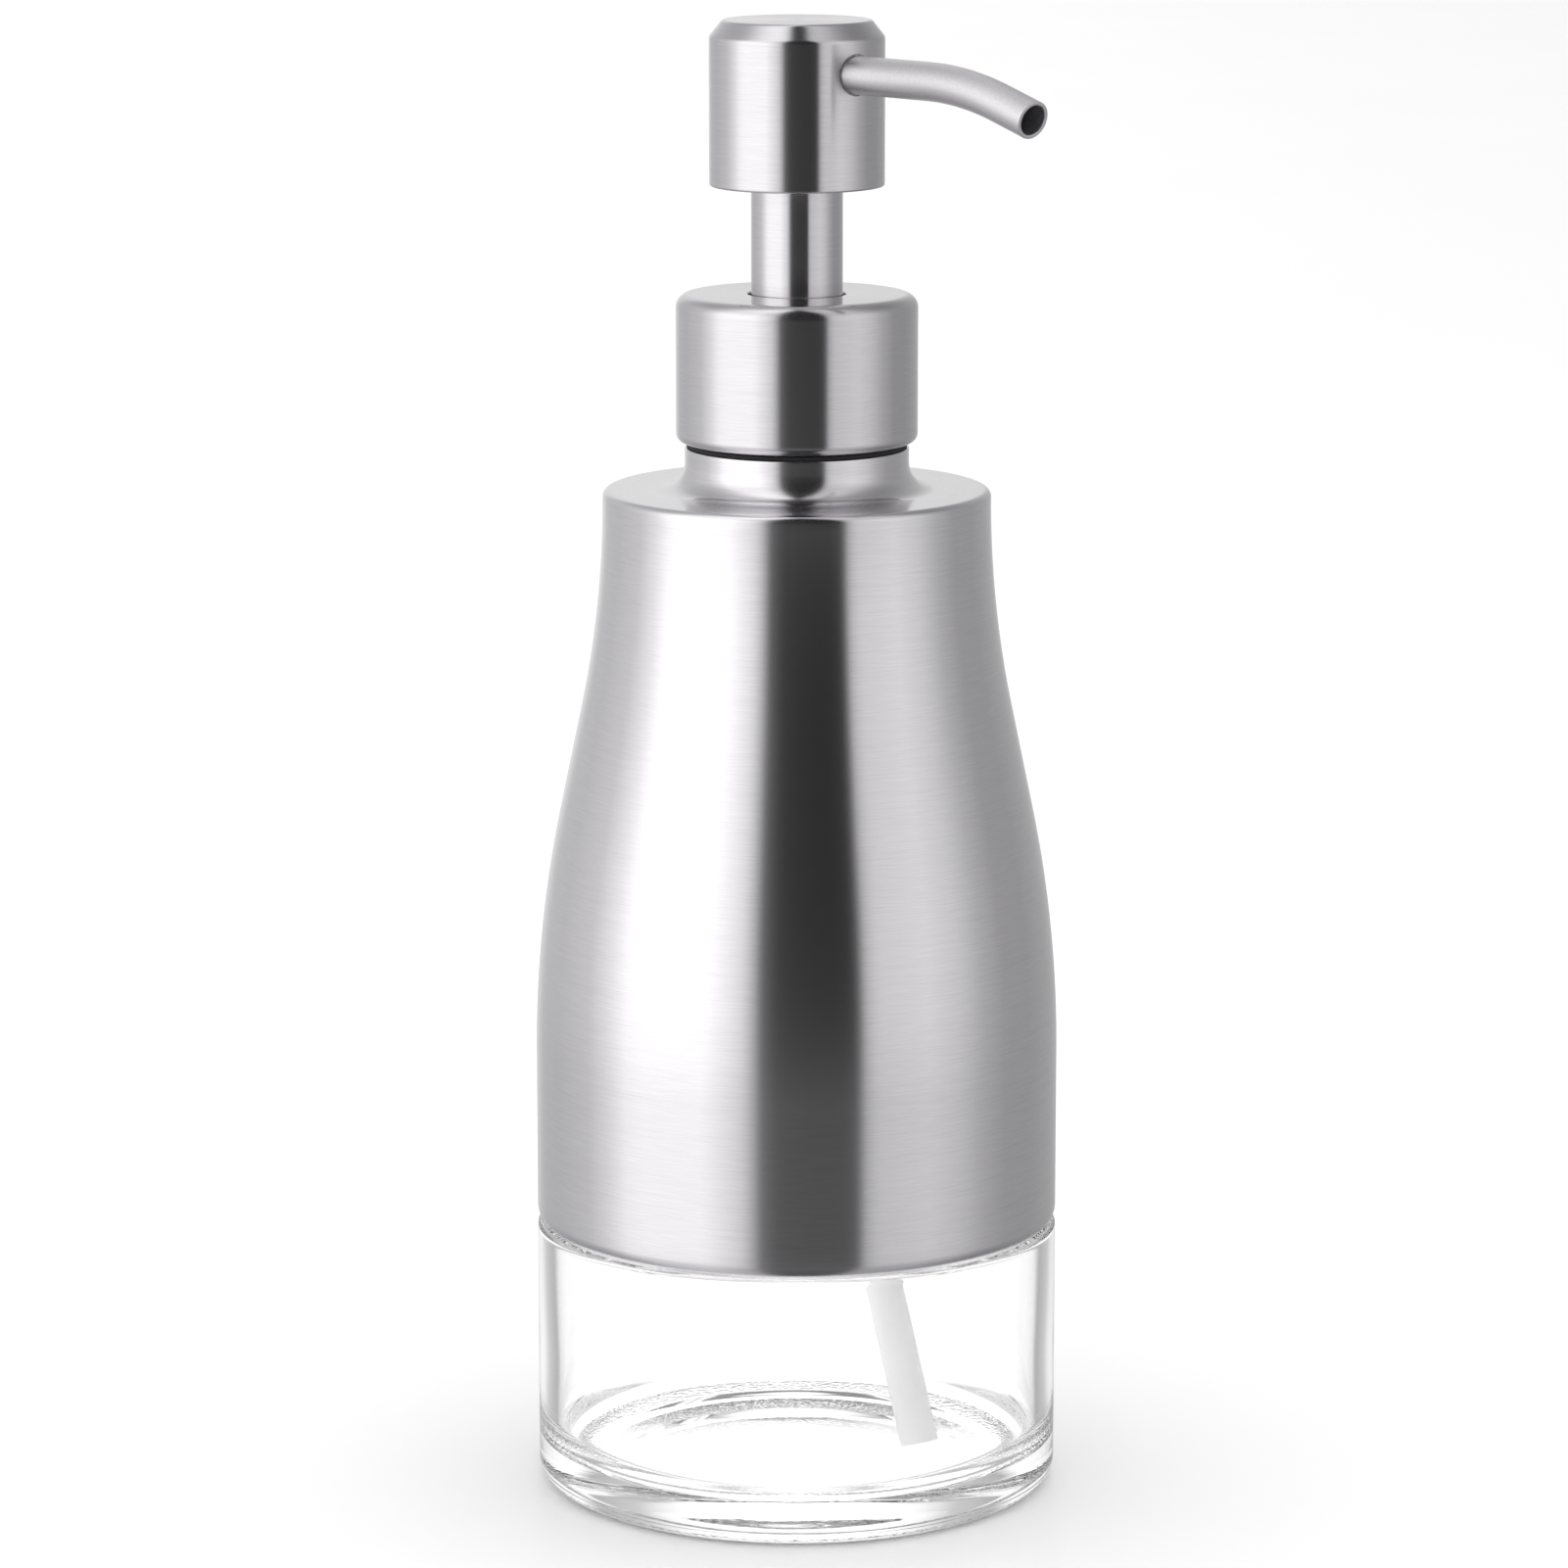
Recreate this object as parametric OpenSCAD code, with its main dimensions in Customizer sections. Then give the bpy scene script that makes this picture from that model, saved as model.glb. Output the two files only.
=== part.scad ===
// Soap pump dispenser: a clear glass bottle in a brushed steel jacket, closed by a
// screw collar that carries a hand pump with a steel head and a bent steel spout.
// Millimetres. +Z is up, the table is z = 0, the bottle's axis is the Z axis and
// the spout points along +X.

/* [Bottle and jacket] */
// Outside diameter of the glass base and of the jacket above it
body_d = 70; // [58:0.5:84]
// Height of the flat top of the jacket's shoulder above the table
shoulder_h = 135.4; // [112:0.2:163]
// Height of clear glass left showing below the jacket
glass_show_h = 36; // [26:0.5:44]
// Height at which the jacket starts to narrow
curve_h = 59.4; // [50:0.2:75]
// Width of the shoulder, from the neck's thread out to the jacket's side
shoulder_w = 12.1; // [10:0.1:15]
// Share of the longest possible side curve that the two arcs take
curve_share = 0.96; // [0.7:0.01:0.98]
// Sheet thickness of the steel jacket
jacket_wall = 0.6; // [0.4:0.1:0.8]
// Height of the jacket's neck above its shoulder
jacket_neck_h = 5.6; // [4.8:0.1:7]
// Thickness of the glass wall that shows
glass_wall = 2.8; // [2:0.1:3.6]
// Height of the inside floor above the table
glass_floor_h = 5; // [4.5:0.25:10]
// Rise of the hollow under the base
punt_h = 1.2; // [0.5:0.1:3]

/* [Neck finish] */
// Outside diameter over the neck's thread
thread_d = 27.3; // [26.6:0.1:33]
// Depth of the thread on the neck
thread_depth = 1.15; // [0.8:0.05:1.3]
// Rise of the thread in one turn
thread_pitch = 4.233; // [4:0.001:4.6]
// Wall of the glass neck under its thread
neck_wall = 2.25; // [1.8:0.05:2.7]

/* [Collar] */
// Height of the steel collar
collar_h = 19.6; // [18:0.1:24]
// Wall of the threaded insert outside its thread
insert_wall = 1.45; // [1.2:0.05:3]
// Sheet thickness of the collar, the head shell and the spout tube
steel_wall = 0.6; // [0.4:0.05:0.7]

/* [Head and spout] */
// Length of sleeve showing between the collar and the head, at rest
press_gap = 14.2; // [11:0.1:18]
// Outside diameter of the sleeve
sleeve_d = 12.1; // [11.5:0.1:13.6]
// Wall of the sleeve
sleeve_wall = 0.55; // [0.4:0.05:0.6]
// Outside diameter of the head
head_d = 23.1; // [20:0.1:30]
// Height of the head
head_h = 21.7; // [18:0.1:27]
// Depth of the spout's centre line below the top of the head
spout_drop = 6.6; // [5.6:0.1:8]
// Outside diameter of the spout tube
spout_d = 5; // [4.4:0.1:6]
// Distance from the pump axis to the middle of the spout's mouth
spout_reach = 44.3; // [40:0.1:56]
// Distance from the pump axis to where the spout starts to bend
spout_straight = 24.9; // [18:0.1:26]
// Radius of the spout's bend
spout_bend_r = 47; // [30:1:50]
// Downward slope of the spout's tip, in degrees
spout_slope = 16.7; // [8:0.1:18]

/* [Pump] */
// Outside diameter of the hollow stem
stem_d = 7; // [6:0.1:8.4]
// Wall of the stem
stem_wall = 1.5; // [1.1:0.1:1.6]
// Bore of the pump cylinder
cylinder_d = 12; // [11.6:0.1:14.6]
// Wall of the pump cylinder
cylinder_wall = 1; // [0.8:0.1:1.2]
// Stroke of the head
stroke = 13.5; // [9:0.1:13.6]
// Outside diameter of the dip tube
dip_d = 4.9; // [4.6:0.1:5.8]
// Wall of the dip tube
dip_wall = 0.75; // [0.6:0.05:1]
// Distance of the middle of the dip tube's foot from the inside wall
dip_foot_gap = 8.2; // [4:0.1:20]
// Height of the middle of the dip tube's cut foot above the table
dip_foot_h = 9.6; // [9.4:0.1:14]
// Radius of the bend in the dip tube
dip_bend_r = 30; // [20:1:34]
// Diameter of the inlet ball
ball_d = 5; // [4.6:0.1:5.2]
// Lift of the inlet ball off its seat
ball_lift = 1.5; // [0.8:0.1:1.8]
// Wire diameter of the return spring
wire_d = 0.8; // [0.5:0.05:0.9]
// Turns of the return spring
spring_turns = 8; // [6:1:9]

/* [Clearances] */
// Radial running clearance of the stem and the piston
run_gap = 0.05; // [0.02:0.01:0.09]
// Gap between pieces that pass each other without touching
free_gap = 0.3; // [0.3:0.05:0.4]
// Gap between faces that close on each other
close_gap = 0.1; // [0.05:0.05:0.2]

/* [Hidden] */
$fn = 96;

steel = [0.72, 0.72, 0.73];
clear = [0.86, 0.93, 0.95, 0.35];
white = [0.93, 0.93, 0.92];
black = [0.07, 0.07, 0.08];
milky = [0.9, 0.9, 0.88, 0.8];

body_r = body_d / 2;
shoulder_round = 1;
neck_fillet = 3.6;
lip_round = 2.5;
lip_in = 1;

// The glass stands this far inside the jacket, and keeps its neck's wall above the ledge.
glass_inset = 1.8;
thread_r = thread_d / 2;
root_r = thread_r - thread_depth;
bore_r = root_r - neck_wall;
jacket_neck_r = thread_r + 2 * free_gap + jacket_wall;
shoulder_r = thread_r + shoulder_w;

// Levels, from the jacket's neck up to the head.
jacket_top = shoulder_h + jacket_neck_h;
ring_h = 0.6;
collar_z = jacket_top + ring_h + close_gap;
collar_top = collar_z + collar_h;
web_h = 1.4;
web_z = collar_top - steel_wall - web_h;
flange_h = 1.4;
flange_z = web_z - close_gap - flange_h;
gasket_h = 0.8;
rim_z = flange_z - gasket_h;
thread_z = rim_z - 8.4;
head_z = collar_top + press_gap;
head_top = head_z + head_h;
collar_r = thread_r + free_gap + insert_wall + steel_wall;

// The pump, from the cup under the flange down to the dip tube.
stem_r = stem_d / 2;
stem_bore_r = stem_r - stem_wall;
guide_r = stem_r + run_gap;
cyl_r = cylinder_d / 2;
cyl_out_r = cyl_r + cylinder_wall;
cup_out_r = bore_r - 0.45;
cup_r = cup_out_r - 1.3;
cup_floor = flange_z - 14.3;
guide_h = 1.5;
piston_h = 10.45;
lost_motion = 0.9;
bead_h = 1.6;
bead_top = cup_floor - close_gap;
piston_top = bead_top - bead_h - lost_motion;
seat_top = piston_top - piston_h - run_gap;
seat_h = 1.6;
ledge_z = seat_top - seat_h - stroke - spring_turns * wire_d - 4.9;
dip_r = dip_d / 2;
dip_foot_r = body_r - glass_wall - dip_foot_gap;
duct_r = 1.6;
ball_r = ball_d / 2;
chamber_r = ball_r + 0.8;
ledge_r = chamber_r + 1.1;
seat_cone_z = ledge_z - 8.2;
ball_z = seat_cone_z - duct_r + ball_r * sqrt(2) + 0.03;
rib_r = ball_r - 0.3;
rib_z = ball_z + ball_lift + close_gap + sqrt(ball_r * ball_r - rib_r * rib_r);
socket_top = seat_cone_z - 1;
socket_h = 6.8;
socket_z = socket_top - socket_h;

// Head and sleeve.
sleeve_r = sleeve_d / 2;
sleeve_in_r = sleeve_r - sleeve_wall;
sleeve_z = collar_top - 1.5;
sleeve_top = head_z + 6;
head_r = head_d / 2;
core_r = head_r - steel_wall;
core_z = head_z + 0.4;
spigot_z = head_z - 4;
spout_r = spout_d / 2;
spout_in_r = spout_r - 0.5;
spout_z = head_top - spout_drop;
spout_inner_x = 6;

function arc(c, r, a0, a1, n) = [for (i = [0:n])
  let (a = a0 + (a1 - a0) * i / n) [c[0] + r * cos(a), c[1] + r * sin(a)]];

// Side curve: an arc, a slope and a counter arc that join without a corner, from
// radius ra at height za up to radius rb at height zb.
function side_curve(ra, za, rb, zb, n) =
  let (h = zb - za, d = ra - rb, s = curve_share * (h * h + d * d) / (2 * d),
    t = atan2(h, s - d) - acos(s / sqrt((s - d) * (s - d) + h * h)),
    r1 = 0.54 * s, r2 = 0.46 * s)
  concat(arc([ra - r1, za], r1, 0, t, n), arc([rb + r2, zb], r2, 180 + t, 180, n));

function flip(list) = [for (i = [len(list) - 1:-1:0]) list[i]];

// A ridge that winds up from z0 on the radius rb and stands to the radius rc.
module winding_ridge(rb, rc, wb, wc, z0, turns, per_turn) {
  n = ceil(turns * per_turn);
  fade = per_turn / 9;
  pts = [for (i = [0:n]) let (a = 360 * turns * i / n, z = z0 + thread_pitch * turns * i / n,
    k = max(0.2, min(1, i / fade, (n - i) / fade)), r = rb + (rc - rb) * k)
    each [[rb * cos(a), rb * sin(a), z - wb / 2], [r * cos(a), r * sin(a), z - wc / 2],
      [r * cos(a), r * sin(a), z + wc / 2], [rb * cos(a), rb * sin(a), z + wb / 2]]];
  sides = [for (i = [0:n - 1], j = [0:3]) let (p = 4 * i + j, q = 4 * i + (j + 1) % 4)
    each [[p, p + 4, q + 4], [p, q + 4, q]]];
  tris = concat(sides, [[0, 1, 2], [0, 2, 3]], [[4 * n, 4 * n + 2, 4 * n + 1],
    [4 * n, 4 * n + 3, 4 * n + 2]]);
  polyhedron(pts, rc < rb ? tris : [for (f = tris) [f[0], f[2], f[1]]]);
}

// A tube along a bent line in the XZ plane. Each stop of the line is its x, its z and
// how far its direction has turned from straight down towards +X, in degrees.
module bent_tube(ro, ri, spine) {
  m = 36;
  last = len(spine) - 1;
  pts = [for (s = spine, r = [ro, ri], j = [0:m - 1]) let (b = 360 * j / m)
    [s[0] + r * cos(b) * cos(s[2]), r * sin(b), s[1] + r * cos(b) * sin(s[2])]];
  skins = [for (i = [0:last - 1], j = [0:m - 1])
    let (p = 2 * m * i + j, q = 2 * m * i + (j + 1) % m, d = 2 * m)
      each [[p, q, q + d], [p, q + d, p + d], [p + m, q + d + m, q + m],
        [p + m, p + d + m, q + d + m]]];
  caps = [for (j = [0:m - 1]) let (k = (j + 1) % m, e = 2 * m * last)
    each [[j, j + m, k + m], [j, k + m, k], [e + j, e + k + m, e + j + m], [e + j, e + k, e + k + m]]];
  polyhedron(pts, concat(skins, caps));
}

module ring(r0, r1, z0, z1) {
  translate([0, 0, z0]) linear_extrude(z1 - z0) difference() {
    circle(r1);
    circle(r0);
  }
}

module glass_bottle() {
  heel = 3;
  foot_r = body_r - 8;
  in_r = body_r - glass_wall;
  up_r = body_r - glass_inset;
  top_z = shoulder_h - jacket_wall - 1.4;
  top_r = shoulder_r - glass_inset;
  round_r = 3;
  fillet = 3.5;
  w = neck_wall;
  outside = concat(
    [for (i = [0:6]) [foot_r * i / 6, punt_h * (1 - i * i / 36)]],
    arc([body_r - heel, heel], heel, 270, 360, 6),
    arc([body_r - 0.8, glass_show_h - 0.8], 0.8, 0, 90, 4),
    [[up_r, glass_show_h]],
    side_curve(up_r, curve_h, top_r, top_z - round_r, 8),
    arc([top_r - round_r, top_z - round_r], round_r, 15, 90, 5),
    arc([root_r + fillet, top_z + fillet], fillet, 270, 180, 6),
    arc([root_r - 0.6, rim_z - 0.6], 0.6, 0, 90, 3));
  inside = concat(
    [[bore_r, rim_z]],
    arc([root_r + fillet, top_z + fillet], fillet + w, 180, 270, 6),
    arc([top_r - round_r, top_z - round_r], round_r - w, 90, 15, 3),
    flip(side_curve(up_r - w, curve_h, top_r - w, top_z - round_r, 8)),
    [for (p = [[0, 5.5], [0.2, 4], [0.55, 2.5], [0.86, 1], [1, -0.6]])
      [up_r - w + p[0] * (in_r - up_r + w), glass_show_h + p[1]]],
    arc([in_r - 5, glass_floor_h + 5], 5, 0, -90, 6),
    [[0, glass_floor_h]]);
  color(clear) union() {
    rotate_extrude() polygon(concat(outside, inside));
    winding_ridge(root_r - 0.4, thread_r, 2.8, 1.2, thread_z, 1.5, 48);
  }
}

module steel_jacket() {
  w = jacket_wall;
  lip_a = acos(1 - lip_in / lip_round);
  lip_c = [body_r - lip_round, glass_show_h + 0.2 + lip_round * sin(lip_a)];
  top_c = [shoulder_r - shoulder_round, shoulder_h - shoulder_round];
  neck_c = [jacket_neck_r + neck_fillet, shoulder_h + neck_fillet];
  side = side_curve(body_r, curve_h, shoulder_r, top_c[1], 8);
  inner_side = flip([for (p = side) [p[0] - w, p[1]]]);
  color(steel) rotate_extrude() polygon(concat(
    arc(lip_c, lip_round, -lip_a, 0, 5), side,
    arc(top_c, shoulder_round, 15, 90, 5), arc(neck_c, neck_fillet, 270, 180, 8),
    [[jacket_neck_r, jacket_top], [jacket_neck_r - w, jacket_top]],
    arc(neck_c, neck_fillet + w, 180, 270, 8), arc(top_c, shoulder_round - w, 90, 15, 5),
    inner_side, arc(lip_c, lip_round - w, 0, -lip_a, 5)));
}

// Adhesive that holds the jacket to the straight side of the glass.
module bond_bead_lower() {
  color(milky) ring(body_r - glass_inset, body_r - jacket_wall, glass_show_h + 6,
    glass_show_h + 9);
}

// Adhesive between the glass shoulder and the inside of the jacket's shoulder.
module bond_bead_upper() {
  color(milky) ring(jacket_neck_r + neck_fillet + 0.3, shoulder_r - glass_inset - 3.2,
    shoulder_h - jacket_wall - 1.4, shoulder_h - jacket_wall);
}

module neck_seal_ring() {
  color(black) ring(thread_r + 0.25, jacket_neck_r - 0.25, jacket_top, jacket_top + ring_h);
}

module pump_housing() {
  shaft_z = ledge_z - 1;
  neck_z = shaft_z - (cyl_out_r - chamber_r - 1);
  color(white) difference() {
    rotate_extrude() polygon([
      [dip_r, socket_z], [chamber_r + 1, socket_z], [chamber_r + 1, neck_z],
      [cyl_out_r, shaft_z], [cyl_out_r, cup_floor - 3.3], [cup_out_r, cup_floor - 0.5],
      [cup_out_r, flange_z], [root_r - 0.2, flange_z], [root_r - 0.2, flange_z + flange_h],
      [cup_r, flange_z + flange_h], [cup_r, cup_floor], [cyl_r, cup_floor],
      [cyl_r, ledge_z], [ledge_r, ledge_z], [chamber_r, ledge_z - 1.1],
      [chamber_r, seat_cone_z + chamber_r - duct_r], [duct_r, seat_cone_z],
      [duct_r, socket_top], [dip_r, socket_top]]);
    translate([0, 0, piston_top - 2.9]) rotate([0, 90, 0]) cylinder(r = 0.6, h = cyl_out_r + 2);
  }
  color(white) for (a = [45:90:315]) rotate([0, 0, a])
    translate([rib_r, -0.4, rib_z]) cube([chamber_r - rib_r + 0.3, 0.8, 1.2]);
}

// Locks the stem and piston into the cup, stops the stem's bead and guides the stem.
module housing_lock_ring() {
  wall_in_r = sleeve_r + 0.9;
  guide_out_r = sleeve_in_r - free_gap;
  top = flange_z + flange_h;
  color(white) rotate_extrude() polygon([
    [guide_r, cup_floor], [cup_r, cup_floor], [cup_r, top], [wall_in_r, top],
    [wall_in_r, cup_floor + guide_h], [guide_out_r, cup_floor + guide_h],
    [guide_out_r, top - 3.2], [guide_r, top - 3.2]]);
}

module neck_gasket() {
  color(black) ring(bore_r + 0.05, root_r - 0.1, rim_z, flange_z);
}

module dip_tube() {
  in_r = dip_r - dip_wall;
  // The tube leans at the angle a that takes it from the bend to its foot.
  top = socket_top - 0.2;
  bend_z = socket_z - 0.8;
  h = bend_z - dip_foot_h;
  m = sqrt(pow(dip_bend_r - dip_foot_r, 2) + h * h);
  a = atan2(h, dip_bend_r - dip_foot_r) - acos(dip_bend_r / m);
  spine = concat([[0, top, 0]],
    [for (i = [0:10]) let (t = a * i / 10)
      [dip_bend_r * (1 - cos(t)), bend_z - dip_bend_r * sin(t), t]],
    [[dip_foot_r, dip_foot_h, a]]);
  color(milky) bent_tube(dip_r, in_r, spine);
}

module return_spring() {
  wire_r = wire_d / 2;
  mean_r = ledge_r + (cyl_r - ledge_r) / 2 - 0.3;
  top = seat_top - seat_h;
  per_turn = 20;
  n = spring_turns * per_turn;
  closed = 1.06 * wire_d;
  span = top - ledge_z - wire_d;
  open_pitch = (span - 2 * closed) / (spring_turns - 2);
  sides = 6;
  function height(t) = t < 1 ? closed * t : t > spring_turns - 1
    ? span - closed * (spring_turns - t) : closed + open_pitch * (t - 1);
  pts = [for (i = [0:n]) let (t = i / per_turn, z = ledge_z + wire_r + height(t))
    for (j = [0:sides - 1]) let (b = 360 * (j + 0.5) / sides, r = mean_r + wire_r * cos(b))
      [r * cos(360 * t), r * sin(360 * t), z + wire_r * sin(b) * 0.999]];
  skin = [for (i = [0:n - 1], j = [0:sides - 1])
    let (p = sides * i + j, q = sides * i + (j + 1) % sides)
      each [[p, p + sides, q + sides], [p, q + sides, q]]];
  ends = concat([for (j = [1:sides - 2]) [0, j, j + 1]],
    [for (j = [1:sides - 2]) [sides * n, sides * n + j + 1, sides * n + j]]);
  color(steel) polyhedron(pts, concat(skin, ends));
}

module inlet_ball() {
  color(steel) translate([0, 0, ball_z]) sphere(ball_r);
}

module collar_shell() {
  w = steel_wall;
  foot = 1.2;
  brow = 1.8;
  foot_c = [collar_r - foot, collar_z + foot];
  brow_c = [collar_r - brow, collar_top - brow];
  hole_r = sleeve_r + 0.45;
  color(steel) rotate_extrude() polygon(concat(
    arc(foot_c, foot, 270, 360, 6), arc(brow_c, brow, 0, 90, 6),
    [[hole_r, collar_top], [hole_r, collar_top - w]],
    arc(brow_c, brow - w, 90, 0, 6), arc(foot_c, foot - w, 360, 270, 6)));
}

module closure_insert() {
  out_r = collar_r - steel_wall;
  in_r = thread_r + free_gap;
  brow = 1.5;
  z0 = collar_z + 1.2;
  top = collar_top - steel_wall;
  hole_r = sleeve_r + 0.9;
  color(white) union() {
    rotate_extrude() polygon(concat(
      [[in_r, z0], [out_r, z0]], arc([out_r - brow, top - brow], brow, 0, 90, 5),
      [[hole_r, top], [hole_r, web_z], [in_r, web_z]]));
    rotate([0, 0, 180]) winding_ridge(in_r + 0.3, root_r + 0.35, 2.5, 1, thread_z, 1.25, 48);
  }
}

module piston() {
  r = cyl_r - run_gap;
  z0 = piston_top - piston_h;
  color(white) rotate_extrude() polygon([
    [guide_r, z0], [r - 0.9, z0], [r, z0 + 0.4], [r, z0 + 1.5], [r - 0.9, z0 + 2.4],
    [r - 0.9, piston_top - 2.2], [r, piston_top - 1.3], [r, piston_top],
    [r - 0.6, piston_top], [r - 1.2, piston_top - 1.2], [guide_r, piston_top - 1.2]]);
}

module stem() {
  top = spout_z - 1.6;
  color(white) difference() {
    union() {
      translate([0, 0, seat_top]) cylinder(r = stem_r, h = top - seat_top);
      translate([0, 0, bead_top - bead_h]) cylinder(r = stem_r + 1.3, h = bead_h);
    }
    translate([0, 0, seat_top - 1]) cylinder(r = stem_bore_r, h = top - seat_top + 2);
    for (a = [0, 90]) rotate([0, 0, a])
      translate([-stem_r - 1, -1, seat_top - 1]) cube([2 * stem_r + 2, 2, 2.6]);
  }
}

// Plug in the foot of the stem: its flange closes the piston and carries the spring.
module stem_valve_seat() {
  guide = ledge_r - 0.7;
  color(white) union() {
    translate([0, 0, seat_top - seat_h]) cylinder(r = cyl_r - 0.9, h = seat_h);
    translate([0, 0, seat_top - seat_h - 3.2]) cylinder(r = guide, h = 3.3);
    intersection() {
      translate([0, 0, seat_top - 0.1]) cylinder(r = stem_bore_r, h = 4.1);
      union() {
        for (a = [45, 135]) rotate([0, 0, a])
          translate([-stem_r, -0.5, seat_top - 0.1]) cube([2 * stem_r, 1, 4.1]);
      }
    }
  }
}

module stem_sleeve() {
  color(steel) ring(sleeve_in_r, sleeve_r, sleeve_z, sleeve_top);
}

module head_shell() {
  w = steel_wall;
  foot = 0.5;
  rise = 2.15;
  run = 1.7;
  color(steel) difference() {
    rotate_extrude() polygon([
      [head_r - w, head_z], [head_r - foot, head_z], [head_r - 0.15, head_z + 0.15],
      [head_r, head_z + foot], [head_r, head_top - rise - 0.4],
      [head_r - 0.12, head_top - rise + 0.1], [head_r - run + 0.3, head_top - 0.25],
      [head_r - run - 0.2, head_top], [0, head_top], [0, head_top - w],
      [head_r - run - 0.55, head_top - w], [head_r - w - 0.08, head_top - rise - 0.2],
      [head_r - w, head_top - rise - 0.6]]);
    translate([0, 0, spout_z]) rotate([0, 90, 0]) cylinder(r = spout_r + 0.25, h = head_r + 2);
  }
}

module head_core() {
  brim = head_top - steel_wall;
  top = spout_z - 1.6;
  color(white) difference() {
    rotate_extrude() polygon([
      [stem_r, spigot_z], [sleeve_in_r, spigot_z], [sleeve_in_r, sleeve_top],
      [sleeve_r, sleeve_top], [sleeve_r, core_z], [core_r, core_z], [core_r, brim - 2.4],
      [core_r - 2, brim], [0, brim], [0, top], [stem_r, top]]);
    translate([0, 0, top - 1]) cylinder(r = stem_bore_r, h = spout_z - top + 1);
    translate([0, 0, spout_z]) sphere(stem_bore_r);
    translate([0, 0, spout_z]) rotate([0, 90, 0]) cylinder(r = spout_in_r, h = spout_inner_x + 1);
    translate([spout_inner_x, 0, spout_z]) rotate([0, 90, 0]) cylinder(r = spout_r, h = head_r);
  }
}

module spout() {
  bend_end = [spout_straight + spout_bend_r * sin(spout_slope),
    spout_z - spout_bend_r * (1 - cos(spout_slope))];
  tail = spout_reach - bend_end[0];
  spine = concat([[spout_inner_x, spout_z, 90]],
    [for (i = [0:10]) let (t = spout_slope * i / 10)
      [spout_straight + spout_bend_r * sin(t), spout_z - spout_bend_r * (1 - cos(t)), 90 - t]],
    [[spout_reach, bend_end[1] - tail * tan(spout_slope), 90 - spout_slope]]);
  color(steel) bent_tube(spout_r, spout_in_r, spine);
}

glass_bottle();
steel_jacket();
bond_bead_lower();
bond_bead_upper();
neck_seal_ring();
pump_housing();
housing_lock_ring();
neck_gasket();
dip_tube();
return_spring();
inlet_ball();
collar_shell();
closure_insert();
piston();
stem();
stem_valve_seat();
stem_sleeve();
head_shell();
head_core();
spout();
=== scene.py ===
# %% [markdown]
# # A soap pump dispenser: glass, brushed steel and a hand pump
#
# The object is a clear glass bottle in a waisted jacket of brushed stainless steel. A
# screw collar closes it and carries a hand pump: a sliding sleeve, a drum-shaped head
# and a thin bent spout. Nearly every piece is round about one line, because the real
# ones are spun, turned or moulded that way, so one Geometry Nodes tree makes them all.
#
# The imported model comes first. It fixes where every piece is and how it moves, and
# this lesson gives it smooth surfaces and real finishes.

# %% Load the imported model
import math

import bmesh
import bpy
import numpy as np
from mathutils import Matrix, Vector


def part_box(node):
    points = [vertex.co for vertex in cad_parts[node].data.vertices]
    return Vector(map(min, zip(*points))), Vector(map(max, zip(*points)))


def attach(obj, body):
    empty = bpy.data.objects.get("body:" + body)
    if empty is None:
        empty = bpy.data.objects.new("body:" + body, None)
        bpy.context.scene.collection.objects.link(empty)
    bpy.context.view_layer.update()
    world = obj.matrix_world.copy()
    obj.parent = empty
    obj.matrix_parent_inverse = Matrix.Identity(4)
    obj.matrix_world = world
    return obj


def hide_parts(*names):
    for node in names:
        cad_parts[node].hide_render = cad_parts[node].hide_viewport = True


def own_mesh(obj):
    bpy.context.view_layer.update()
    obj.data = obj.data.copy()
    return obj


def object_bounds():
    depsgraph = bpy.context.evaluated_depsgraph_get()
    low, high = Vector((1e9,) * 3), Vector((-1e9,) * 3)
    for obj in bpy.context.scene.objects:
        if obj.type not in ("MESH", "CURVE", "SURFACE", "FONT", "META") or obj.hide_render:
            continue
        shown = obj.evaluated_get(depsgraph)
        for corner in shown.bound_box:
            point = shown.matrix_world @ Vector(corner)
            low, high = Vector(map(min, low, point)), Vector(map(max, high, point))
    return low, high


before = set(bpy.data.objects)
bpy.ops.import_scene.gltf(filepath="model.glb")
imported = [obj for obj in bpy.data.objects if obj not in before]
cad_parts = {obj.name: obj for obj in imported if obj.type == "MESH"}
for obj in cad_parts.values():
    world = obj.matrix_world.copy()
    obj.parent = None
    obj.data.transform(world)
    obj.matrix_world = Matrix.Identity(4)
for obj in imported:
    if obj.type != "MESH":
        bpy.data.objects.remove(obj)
packed_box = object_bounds()
print("packed box in mm:", [[round(1000 * v, 2) for v in corner] for corner in packed_box])

# %% [markdown]
# ## The studio
#
# Steel has no colour of its own to speak of: it shows the room. The room here is the
# usual one for metal on white. A broad white light stands at the left, a paler one at
# the right, and the gap between them is left dark. That gap gives every round steel
# piece its dark stripe. The room could be built from cards and lamps, but a world
# shader that depends only on the direction in the room does the same without edges,
# and it never gets in the way when the camera walks round.

# %% One function adds a node
def add(tree, kind, links=None, **settings):
    """Adds a node, sets its settings, and fills its inputs with values or links."""
    node = tree.nodes.new(kind)
    for name, value in settings.items():
        setattr(node, name, value)
    for key, value in (links or {}).items():
        if isinstance(value, bpy.types.NodeSocket):
            tree.links.new(value, node.inputs[key])
        else:
            node.inputs[key].default_value = value
    return node


def linear(hex_code):
    """An sRGB hex colour as the linear numbers a shader works in."""
    parts = [int(hex_code[i:i + 2], 16) / 255 for i in (1, 3, 5)]
    return tuple(c / 12.92 if c <= 0.04045 else ((c + 0.055) / 1.055) ** 2.4 for c in parts) + (1.0,)


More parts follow.
